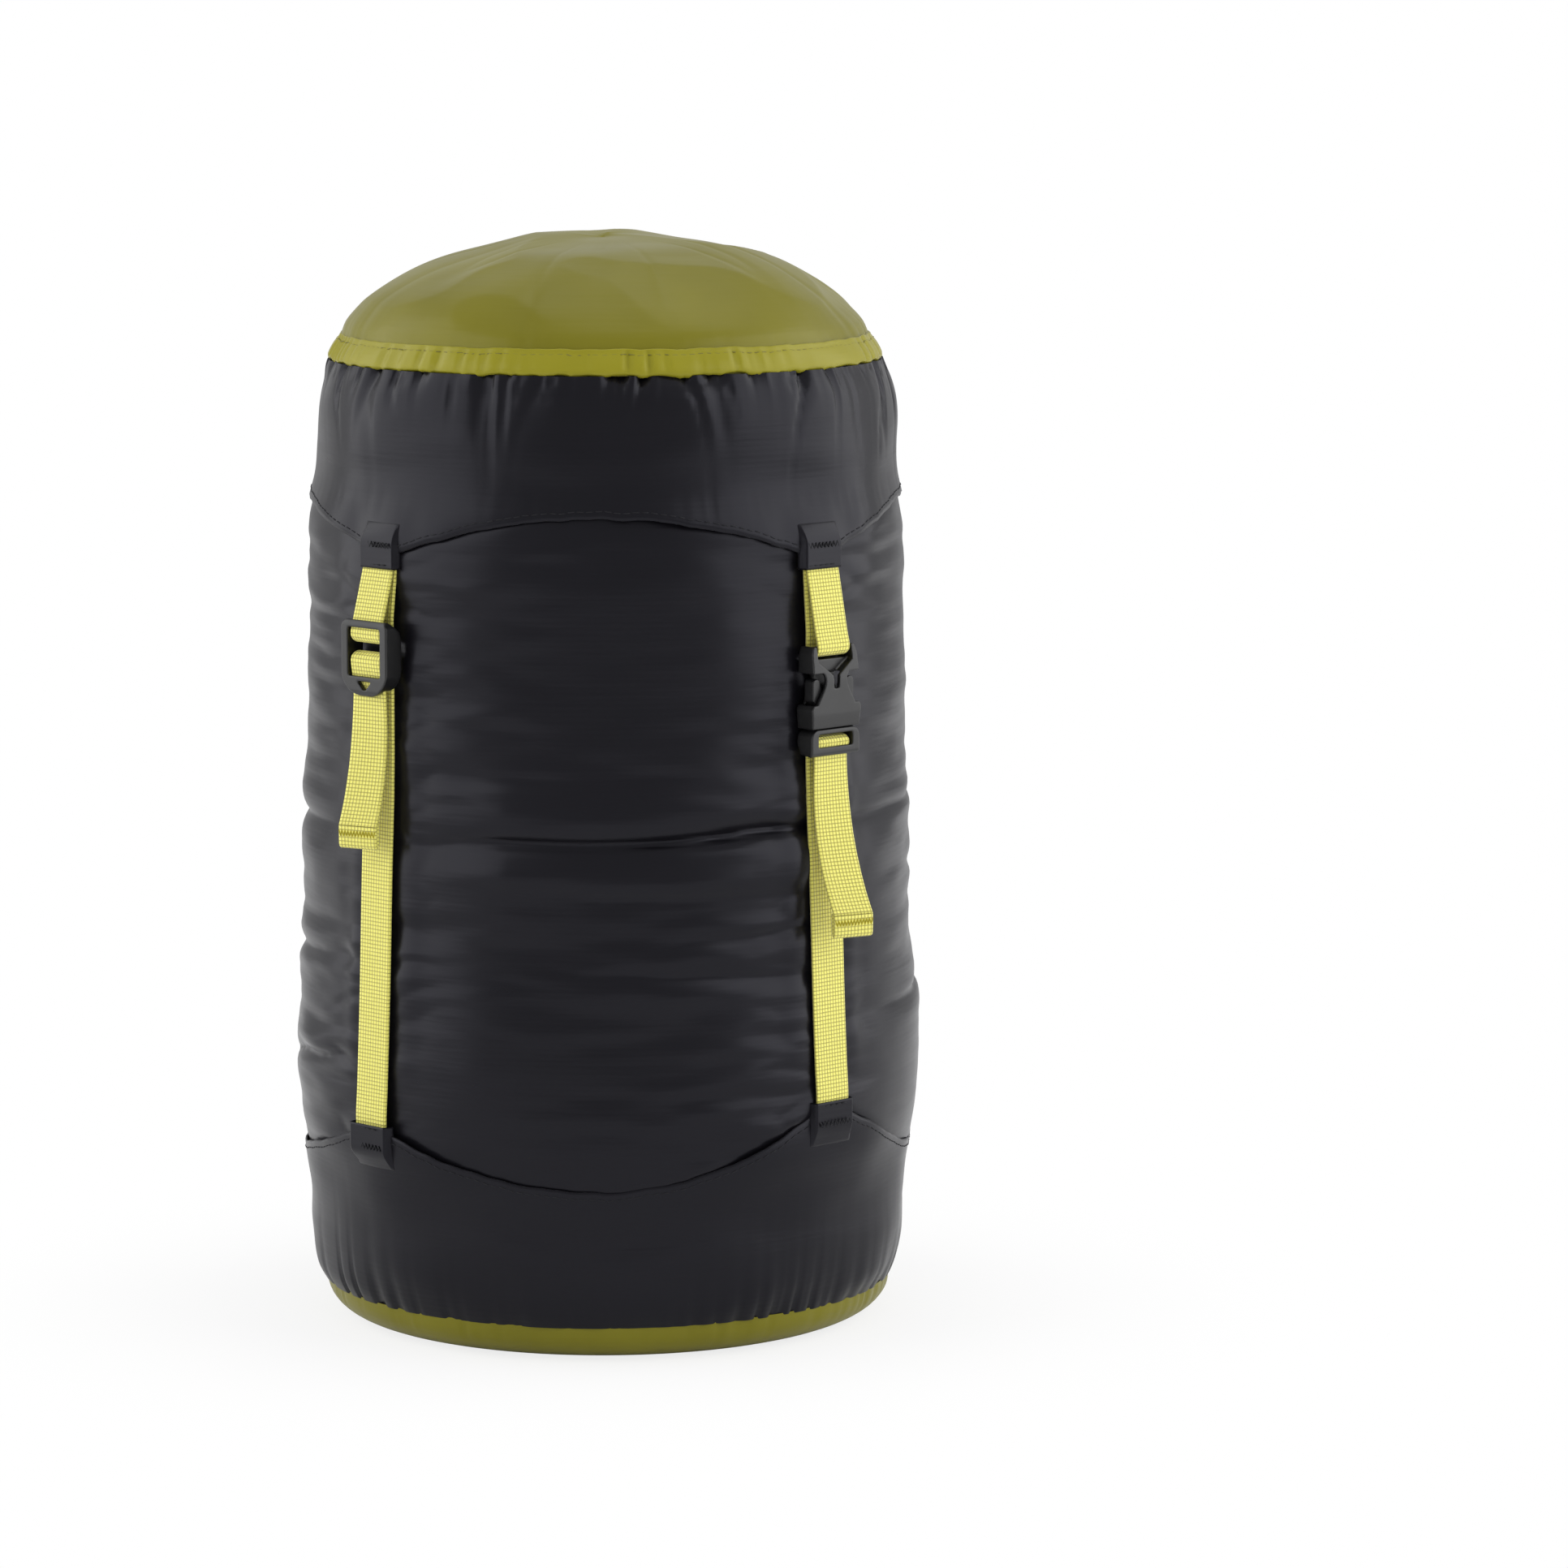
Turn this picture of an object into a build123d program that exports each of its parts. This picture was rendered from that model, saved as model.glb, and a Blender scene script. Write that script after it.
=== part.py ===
"""Compression sack: a stuffed round fabric sack with a cap at each end, drawn together by four webbing
straps. Two straps run through ladder locks and two through side-release buckles.

Millimetres, +Z up. The origin is the centre of the base, on the surface that the sack stands on.
Azimuth 0 faces -Y, the front, and turns towards +X.
"""

import os
from math import cos, radians, sin

from build123d import *

# ---- the sack ----
sack_height = 377.0  # floor to the crown of the lid
body_radius = 104.0  # outside of the tube at mid height
belly_bulge = 5.0  # how much wider the tube is low down, where the load settles
belly_height = 84.0
lid_inset = 3.2  # how much narrower the lid's side is than the tube
fabric = 0.8  # a sewn layer, with its coating and turned edges
skin_gap = 0.3  # between two layers that lie on each other

base_flat_inset = 20.0  # the flat of the base, in from the tube's radius
base_seam_inset = 6.5  # base panel seam, in from the tube's radius
base_seam_height = 10.0
base_hem_height = 60.4  # lowest point of the base yoke's scalloped edge
lid_seam_inset = 8.4
lid_seam_drop = 42.3  # lid panel seam, down from the crown
lid_hem_drop = 89.6  # highest point of the lid yoke's scalloped edge, down from the crown
lid_band_width = 8.5  # turned and topstitched edge of the lid panel
neck_radius = 15.0  # gathered mouth of the tube, under the lid
neck_height = 9.0
load_clear = 1.5  # between the stuffed load and the fabric round it
floor_clear = 0.5  # between the load and the base panel that it rests on

# ---- webbing and its anchors ----
web_width = 15.0
web_thickness = 1.2
web_slack = 0.2  # between webbing and the bar that it turns round
strap_clear = 0.25  # between webbing and the fabric under it
tab_height = 9.6
tab_wall = 0.8
tack_height = 1.8
tack_relief = 0.4
lid_tab_drop = 108.7  # lower edge of a lid tab, down from the crown
hem_length = 8.0  # folded end of a strap tail
lip_clear = 0.3  # between a tail and the lip that it comes out behind
strand_stand = 1.1  # inner face of the webbing at the buckles, out from the tube
strap_foot_stand = 1.35  # the same at a base tab, out from the belly's radius
strap_lean_gap = 9.5  # a lower strap has leant in from the belly this far below the plug

# ---- buckles ----
rail_width = 3.3  # side rail of a buckle
rail_clear = 0.6  # webbing edge to rail
bar_radius = 1.2
lock_height = 25.6
lock_hang = 17.3  # lid tab edge to the top of a ladder lock
lip_thickness = 2.0
lip_height = 6.6
buckle_hang = 25.6  # lid tab edge to the top of a side-release buckle
socket_height = 27.8
socket_depth = 8.0  # front to back
socket_wall = 1.5
mouth_height = 8.1  # closed collar at the socket's open end
waist_width = 10.0
horn_width = 21.0
plug_height = 9.1
plug_gap = 0.3  # plug shoulder to socket mouth
running_gap = 0.3  # plug to the inside of the socket
arm_knuckle = 1.5
knuckle_clear = 0.2
knuckle_reach = 6.4  # knuckle centre to the buckle's middle

# Each strap: name, azimuth, buckle, top of its base tab, length of its tail, how far the tail's end stands out.
STRAPS = (
    ("front_left", -45.0, "lock", 78.8, 52.0, 5.4),
    ("front_right", 45.0, "buckle", 87.0, 61.7, 10.5),
    ("back_right", 135.0, "buckle", 82.0, 58.0, 9.0),
    ("back_left", 225.0, "lock", 82.0, 50.0, 5.4),
)
QUARTERS = (0.0, 90.0, 180.0, 270.0)

lid_seam_height = sack_height - lid_seam_drop
lid_hem_height = sack_height - lid_hem_drop
lid_tab_height = sack_height - lid_tab_drop
lid_radius = body_radius - lid_inset
lid_seam_radius = body_radius - lid_seam_inset
base_seam_radius = body_radius - base_seam_inset
base_flat_radius = body_radius - base_flat_inset
base_tab_mean = sum(strap[3] for strap in STRAPS) / len(STRAPS)
half_web = web_width / 2
half_inner = half_web + rail_clear  # half the window of a buckle
half_outer = half_inner + rail_width
wrap_radius = bar_radius + web_slack + web_thickness / 2  # webbing centreline round a bar
strand_radius = body_radius + strand_stand + web_thickness / 2  # back strand at a buckle
bar_reach = strand_radius + wrap_radius  # bar centres, out from the sack's axis
tail_reach = bar_reach + wrap_radius  # a tail where it leaves its bar
lip_back = tail_reach + web_thickness / 2 + lip_clear
buckle_front = lip_back + lip_thickness
buckle_back = strand_radius - web_thickness / 2 + 0.1
foot_radius = body_radius + belly_bulge + strap_foot_stand + web_thickness / 2
lock_top = lid_tab_height - lock_hang
lock_bottom = lock_top - lock_height
loop_bar_height = lock_top - 5.6
grip_bar_height = loop_bar_height - 7.4
socket_top = lid_tab_height - buckle_hang
socket_bottom = socket_top - socket_height
socket_bar_height = socket_top - 1.5
socket_middle = buckle_back + socket_depth / 2 - 0.1  # middle of the buckle's depth
arm_depth = socket_depth - 2 * (socket_wall + running_gap)
plug_top = socket_bottom - plug_gap
plug_bottom = plug_top - plug_height
plug_bar_height = plug_bottom + 4.4
knuckle_height = plug_top + 2.8

# ---- outlines of the fabric, as (radius, height) going up ----
lean_height = plug_bottom - strap_lean_gap  # a lower strap leans in from the belly up to here, with the tube
wall_rise = lean_height - belly_height
tube_outline = [
    (body_radius + 0.5, base_hem_height - 10.0),
    (body_radius + 2.2, base_hem_height),
    (body_radius + 0.9 * belly_bulge, base_hem_height + 10.0),
    (body_radius + belly_bulge, belly_height),
    (body_radius + 0.72 * belly_bulge, belly_height + 0.232 * wall_rise),
    (body_radius + 0.36 * belly_bulge, belly_height + 0.6072 * wall_rise),
    (body_radius, belly_height + 1.091 * wall_rise),
    (body_radius - 0.05, belly_height + 1.3757 * wall_rise),
    (body_radius - 0.1, lid_tab_height),
    (body_radius - 0.5, lid_hem_height - 5.0),
    (body_radius - 2.6, lid_hem_height),
    (lid_radius - fabric - 2 * skin_gap, lid_hem_height + 5.0),
    (lid_radius - fabric - 2 * skin_gap, lid_hem_height + 9.0),
]


def outward(point_radius, extra):
    return point_radius[0] + extra, point_radius[1]


def radius_at(outline, height):
    """Radius of an outline at a height, along the straight lines between its points."""
    for (r0, z0), (r1, z1) in zip(outline, outline[1:]):
        if z0 <= height <= z1:
            return r0 + (r1 - r0) * (height - z0) / (z1 - z0)
    raise ValueError(f"no outline at {height}")


over_tube = skin_gap + fabric
base_yoke_outline = [
    (base_seam_radius + 0.3, base_seam_height + skin_gap),
    (body_radius - 2.4, base_seam_height + 4.5),
    (body_radius - 0.6, base_seam_height + 11.0),
    (body_radius + 1.1, base_seam_height + 21.0),
    (body_radius + 1.7, base_hem_height - 18.0),
    outward(tube_outline[0], over_tube + 0.6),
    *[outward(p, over_tube) for p in tube_outline[1:5]],
]
lid_yoke_outline = [
    (body_radius + over_tube + 0.2, lid_tab_height - 2.0),
    (body_radius + over_tube + 0.2, lid_tab_height + 6.0),
    outward(tube_outline[9], over_tube + 0.4),
    outward(tube_outline[10], over_tube + 0.4),
    (lid_radius + 0.1, lid_hem_height + 5.5),
    (lid_radius, lid_hem_height + 16.0),
    (lid_radius - 0.3, lid_hem_height + 28.0),
    (lid_radius - 1.6, lid_seam_height - 8.0),
    (lid_radius - 3.6, lid_seam_height - 3.2),
    (lid_seam_radius + 0.3, lid_seam_height - skin_gap),
]
crown_rise = lid_seam_drop
lid_panel_outline = [
    (lid_seam_radius, lid_seam_height),
    (lid_seam_radius - 4.6, lid_seam_height + 0.20 * crown_rise),
    (lid_seam_radius - 18.7, lid_seam_height + 0.475 * crown_rise),
    (lid_seam_radius - 40.7, lid_seam_height + 0.745 * crown_rise),
    (lid_seam_radius - 62.0, lid_seam_height + 0.90 * crown_rise),
    (lid_seam_radius - 79.0, lid_seam_height + 0.975 * crown_rise),
]
neck_shoulder = [
    (lid_radius - fabric - 4 * skin_gap, tube_outline[-1][1] + skin_gap),
    (lid_radius - fabric - 5 * skin_gap, lid_hem_height + 24.0),
    (lid_seam_radius - 3.0, lid_seam_height - 9.0),
    (lid_seam_radius - 12.0, lid_seam_height + 4.0),
    (lid_seam_radius - 34.0, lid_seam_height + 16.0),
    (lid_seam_radius - 62.0, lid_seam_height + 22.5),
    (neck_radius, lid_seam_height + 25.0),
]


def inner(outline, thickness):
    """The outline moved inwards, square to itself, by a thickness."""
    moved = []
    for i, (r, z) in enumerate(outline):
        (r0, z0), (r1, z1) = outline[max(i - 1, 0)], outline[min(i + 1, len(outline) - 1)]
        way = Vector(r1 - r0, z1 - z0).normalized()
        moved.append((r - way.Y * thickness, z + way.X * thickness))
    return moved


# ---- planes ----
def outward_direction(azimuth):
    return Vector(sin(radians(azimuth)), -cos(radians(azimuth)), 0)


def face_plane(azimuth, distance=0.0):
    """Seen from outside: local X runs round the sack, local Y is up, and the normal points outwards."""
    way = outward_direction(azimuth)
    return Plane(origin=way * distance, x_dir=(cos(radians(azimuth)), sin(radians(azimuth)), 0), z_dir=way)


def section_plane(azimuth):
    """A slice through the sack's axis: local X is the distance from the axis and local Y the height."""
    way = outward_direction(azimuth)
    return Plane(origin=(0, 0, 0), x_dir=way, z_dir=way.cross(Vector(0, 0, 1)))


def save(part, name):
    part.label = name
    export_step(part, f"parts/{name}.step")


# ---- fabric ----
def make_base_panel():
    """Flat round floor with a turned-up edge."""
    edge = (base_seam_radius, base_seam_height)
    inner_edge = (base_seam_radius - fabric, base_seam_height)
    with BuildPart() as base_panel:
        with BuildSketch(Plane.XZ):
            with BuildLine():
                Polyline((0, fabric), (0, 0), (base_flat_radius, 0))
                Spline((base_flat_radius, 0), edge, tangents=((1, 0), (0.25, 1)))
                Line(edge, inner_edge)
                Spline(inner_edge, (base_flat_radius, fabric), tangents=((-0.25, -1), (-1, 0)))
                Line((base_flat_radius, fabric), (0, fabric))
            make_face()
        revolve(axis=Axis.Z)
    save(base_panel.part, "base_panel")


def make_base_yoke():
    """Wall of the sack's foot; its top edge rises in an arc to each strap."""
    heights = {strap[1] % 360: strap[3] for strap in STRAPS}
    inside = inner(base_yoke_outline, fabric)
    widest = body_radius + belly_bulge
    reach = widest * sin(radians(45.0)) + 2.0
    with BuildPart() as base_yoke:
        with BuildSketch(Plane.XZ):
            with BuildLine():
                Spline(*base_yoke_outline)
                Line(base_yoke_outline[-1], inside[-1])
                Spline(*reversed(inside))
                Line(inside[0], base_yoke_outline[0])
            make_face()
        revolve(axis=Axis.Z)
        for azimuth in QUARTERS:
            left, right = heights[(azimuth - 45.0) % 360], heights[(azimuth + 45.0) % 360]
            with BuildSketch(face_plane(azimuth)):
                with BuildLine():
                    ThreePointArc((-reach, left), (0, base_hem_height), (reach, right))
                    Polyline((reach, right), (reach, sack_height), (-reach, sack_height), (-reach, left))
                make_face()
            extrude(amount=widest + 20.0, mode=Mode.SUBTRACT)
    save(base_yoke.part, "base_yoke")


def make_lid_yoke():
    """Wall of the lid; its hem drops in an arc to each strap."""
    inside = inner(lid_yoke_outline, fabric)
    reach = body_radius * sin(radians(45.0)) + 2.0
    with BuildPart() as lid_yoke:
        with BuildSketch(Plane.XZ):
            with BuildLine():
                Spline(*lid_yoke_outline)
                Line(lid_yoke_outline[-1], inside[-1])
                Spline(*reversed(inside))
                Line(inside[0], lid_yoke_outline[0])
            make_face()
        revolve(axis=Axis.Z)
        for azimuth in QUARTERS:
            with BuildSketch(face_plane(azimuth)):
                with BuildLine():
                    ThreePointArc((-reach, lid_tab_height), (0, lid_hem_height), (reach, lid_tab_height))
                    Polyline((reach, lid_tab_height), (reach, 0), (-reach, 0), (-reach, lid_tab_height))
                make_face()
            extrude(amount=body_radius + 20.0, mode=Mode.SUBTRACT)
    save(lid_yoke.part, "lid_yoke")


def make_body_tube():
    """The sack's own wall, from inside the base yoke to under the lid."""
    inside = inner(tube_outline, fabric)
    with BuildPart() as body_tube:
        with BuildSketch(Plane.XZ):
            with BuildLine():
                Spline(*tube_outline)
                Line(tube_outline[-1], inside[-1])
                Spline(*reversed(inside))
                Line(inside[0], tube_outline[0])
            make_face()
        revolve(axis=Axis.Z)
    save(body_tube.part, "body_tube")


def make_neck_closure():
    """Top of the tube under the lid, drawn in to a gathered mouth."""
    top = (neck_radius, neck_shoulder[-1][1] + neck_height)
    outline = [*neck_shoulder, top]
    with BuildPart() as neck_closure:
        with BuildSketch(Plane.XZ):
            with BuildLine() as path:
                FilletPolyline(*outline, radius=3.0)
            trace(path.line, line_width=fabric)
        revolve(axis=Axis.Z)
    save(neck_closure.part, "neck_closure")


def make_packed_load():
    """What the sack is stuffed with; it fills the skin and gives it its shape."""
    under_yoke = fabric + over_tube + load_clear
    under_tube = fabric + load_clear
    wall = [outward(p, -under_yoke) for p in base_yoke_outline[1:5]]
    wall += inner(tube_outline, under_tube)
    wall += [outward(p, -fabric - load_clear) for p in neck_shoulder[1:3]]
    wall += [(r - fabric - load_clear, z - fabric - load_clear) for r, z in neck_shoulder[3:]]
    floor = fabric + floor_clear
    with BuildPart() as packed_load:
        with BuildSketch(Plane.XZ):
            with BuildLine():
                Polyline(
                    (0, floor),
                    (base_flat_radius, floor),
                    (base_seam_radius - 3.0, base_seam_height),
                    *wall,
                    (0, wall[-1][1]),
                    close=True,
                )
            make_face()
        revolve(axis=Axis.Z)
    save(packed_load.part, "packed_load")


def make_lid_panel():
    """Domed top, closed over the crown."""
    crown = (0, sack_height)
    inside = inner(lid_panel_outline, fabric)
    with BuildPart() as lid_panel:
        with BuildSketch(Plane.XZ):
            with BuildLine():
                Spline(*lid_panel_outline, crown, tangents=((-0.35, 1), (-1, 0)))
                Line(crown, (0, sack_height - fabric))
                Spline((0, sack_height - fabric), *reversed(inside), tangents=((1, 0), (0.35, -1)))
                Line(inside[0], lid_panel_outline[0])
            make_face()
        revolve(axis=Axis.Z)
    save(lid_panel.part, "lid_panel")


def make_lid_band():
    """The lid panel's edge, turned back and topstitched: a second layer over the seam."""
    (r0, z0), (r1, z1) = lid_panel_outline[:2]
    share = lid_band_width / (z1 - z0)
    bottom = (r0 + 2 * skin_gap, z0 + skin_gap)
    top = (r0 + (r1 - r0) * share + 2 * skin_gap, z0 + lid_band_width)
    middle = ((bottom[0] + top[0]) / 2 + 0.7, (bottom[1] + top[1]) / 2)
    with BuildPart() as lid_band:
        with BuildSketch(Plane.XZ):
            with BuildLine():
                ThreePointArc(bottom, middle, top)
                Line(top, outward(top, fabric))
                ThreePointArc(outward(top, fabric), outward(middle, fabric), outward(bottom, fabric))
                Line(outward(bottom, fabric), bottom)
            make_face()
        revolve(axis=Axis.Z)
    save(lid_band.part, "lid_band")


# ---- tabs and tacks ----
def make_plate(name, azimuth, back, thickness, bottom, width, height):
    """A flat piece of fabric or stitching that lies on the strap at an anchor."""
    with BuildPart() as plate:
        with BuildSketch(face_plane(azimuth, back)):
            with Locations((0, bottom + height / 2)):
                RectangleRounded(width, height, 0.6)
        extrude(amount=thickness)
    save(plate.part, name)


lid_strand_inner = body_radius + over_tube + 0.2 + strap_clear + web_thickness / 2
lid_strand_outer = lid_strand_inner + web_thickness + 0.1
lid_tab_back = lid_strand_outer + web_thickness / 2 + 0.15
base_tab_back = foot_radius + web_thickness / 2 + 0.15


def make_anchors(name, azimuth, base_tab_top):
    tab_width = web_width + 0.5
    tack_width = web_width - 1.0
    make_plate(f"lid_tab_{name}", azimuth, lid_tab_back, tab_wall, lid_tab_height, tab_width, tab_height)
    make_plate(
        f"lid_bar_tack_{name}",
        azimuth,
        lid_tab_back + tab_wall + 0.05,
        tack_relief,
        lid_tab_height + tab_height - tack_height - 0.6,
        tack_width,
        tack_height,
    )
    bottom = base_tab_top - tab_height
    make_plate(f"base_tab_{name}", azimuth, base_tab_back, tab_wall, bottom, tab_width, tab_height)
    make_plate(
        f"base_bar_tack_{name}",
        azimuth,
        base_tab_back + tab_wall + 0.05,
        tack_relief,
        bottom + 1.2,
        tack_width,
        tack_height,
    )


# ---- webbing ----
def make_upper_loop(name, azimuth, bar_height):
    """Two strands from under the lid tab, joined round the buckle's bar."""
    anchor_top = lid_tab_height + tab_height - 1.0
    anchor_bottom = lid_tab_height - 1.0
    with BuildPart() as upper_loop:
        with BuildSketch(section_plane(azimuth)):
            with BuildLine() as path:
                Line((lid_strand_inner, anchor_top), (lid_strand_inner, anchor_bottom))
                Spline(
                    (lid_strand_inner, anchor_bottom),
                    (bar_reach - wrap_radius, bar_height),
                    tangents=((0, -1), (0, -1)),
                )
                ThreePointArc(
                    (bar_reach - wrap_radius, bar_height),
                    (bar_reach, bar_height - wrap_radius),
                    (bar_reach + wrap_radius, bar_height),
                )
                Spline(
                    (bar_reach + wrap_radius, bar_height),
                    (lid_strand_outer, anchor_bottom),
                    tangents=((0, 1), (0, 1)),
                )
                Line((lid_strand_outer, anchor_bottom), (lid_strand_outer, anchor_top))
            trace(path.line, line_width=web_thickness)
        extrude(amount=half_web, both=True)
    save(upper_loop.part, f"upper_loop_{name}")


def make_lower_strap(name, azimuth, base_tab_top, bar_height):
    """One strand from under the base tab up to the back of the bar that grips it."""
    foot = (foot_radius, base_tab_top - tab_height + 1.0)
    knee = (foot_radius, base_tab_top + 4.0)
    lean_top = (strand_radius, lean_height)
    end = (strand_radius, bar_height - 0.4)
    with BuildPart() as lower_strap:
        with BuildSketch(section_plane(azimuth)):
            with BuildLine() as path:
                FilletPolyline(foot, knee, lean_top, end, radius=60.0)
            trace(path.line, line_width=web_thickness)
        extrude(amount=half_web, both=True)
    save(lower_strap.part, f"lower_strap_{name}")


def make_strap_tail(name, azimuth, bar_height, lip_bottom, tail_length, stand_out):
    """Webbing over the gripping bar, out behind the lip and down to the turned end."""
    end_height = lip_bottom - tail_length
    with BuildPart() as strap_tail:
        with BuildSketch(section_plane(azimuth)):
            with BuildLine() as path:
                ThreePointArc(
                    (strand_radius, bar_height),
                    (bar_reach, bar_height + wrap_radius),
                    (tail_reach, bar_height),
                )
                Line((tail_reach, bar_height), (tail_reach, lip_bottom - 1.5))
                Spline(
                    (tail_reach, lip_bottom - 1.5),
                    (tail_reach + stand_out, end_height + hem_length + 0.3),
                    tangents=((0, -1), (0, -1)),
                )
            trace(path.line, line_width=web_thickness)
        extrude(amount=half_web, both=True)
    save(strap_tail.part, f"strap_tail_{name}")

    fold = web_thickness + 0.05
    with BuildPart() as strap_end:
        with BuildSketch(section_plane(azimuth)):
            with BuildLine():
                r = tail_reach + stand_out
                top, low = end_height + hem_length, end_height + fold
                Polyline((r - fold, low), (r - fold, top), (r + fold, top), (r + fold, low))
                ThreePointArc((r + fold, low), (r, end_height), (r - fold, low))
            make_face()
        extrude(amount=half_web, both=True)
    save(strap_end.part, f"strap_end_{name}")


# ---- ladder lock ----
def make_ladder_lock(name, azimuth):
    """Two side rails, a top rim, two bars and a lip with a finger hole."""
    pivot = loop_bar_height
    side = [
        (buckle_front, lock_top - 1.2),
        (buckle_front - 0.9, lock_top),
        (lip_back - 0.3, lock_top),
        (bar_reach - 1.6, pivot + 2.2),
        (buckle_back + 0.3, pivot - 1.4),
        (buckle_back, grip_bar_height - 3.0),
        (bar_reach - 1.0, lock_bottom + 3.0),
        (lip_back, lock_bottom),
        (buckle_front - 0.7, lock_bottom),
        (buckle_front, lock_bottom + 1.6),
    ]
    lip_top = lock_bottom + lip_height
    rim_bottom = lock_top - 2.5
    with BuildPart() as ladder_lock:
        with BuildSketch(section_plane(azimuth)):
            with BuildLine():
                Polyline(*side, close=True)
            make_face()
        extrude(amount=half_outer, both=True)
        with BuildSketch(face_plane(azimuth, body_radius - 10.0)):
            with Locations((0, (lock_top + lock_bottom) / 2)):
                Rectangle(2 * half_inner, lock_height + 10.0)
        extrude(amount=lip_back - body_radius + 10.0, mode=Mode.SUBTRACT)
        with BuildSketch(face_plane(azimuth, body_radius)):
            with Locations((0, (lip_top + rim_bottom) / 2)):
                RectangleRounded(2 * half_inner, rim_bottom - lip_top, 0.8)
        extrude(amount=20.0, mode=Mode.SUBTRACT)
        with BuildSketch(face_plane(azimuth, body_radius)):
            with BuildLine():
                Polyline(
                    (-half_outer, lock_bottom + 7.0),
                    (-half_outer, lock_top - 2.0),
                    (-half_outer + 1.4, lock_top),
                    (half_outer - 1.4, lock_top),
                    (half_outer, lock_top - 2.0),
                    (half_outer, lock_bottom + 7.0),
                )
                ThreePointArc(
                    (half_outer, lock_bottom + 7.0), (half_outer - 2.6, lock_bottom + 2.6), (3.0, lock_bottom)
                )
                Line((3.0, lock_bottom), (-3.0, lock_bottom))
                ThreePointArc(
                    (-3.0, lock_bottom), (-half_outer + 2.6, lock_bottom + 2.6), (-half_outer, lock_bottom + 7.0)
                )
            make_face()
        extrude(amount=20.0, mode=Mode.INTERSECT)
        with BuildSketch(section_plane(azimuth)):
            with Locations((bar_reach, pivot), (bar_reach, grip_bar_height)):
                Circle(bar_radius)
        extrude(amount=half_inner + 1.0, both=True)
        with BuildSketch(face_plane(azimuth, body_radius)):
            with BuildLine():
                Polyline(
                    (-3.6, lip_top - 1.6), (3.6, lip_top - 1.6), (0.6, lip_top - 4.6), (-0.6, lip_top - 4.6), close=True
                )
            make_face()
        extrude(amount=20.0, mode=Mode.SUBTRACT)
    save(ladder_lock.part, f"ladder_lock_{name}")


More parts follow.
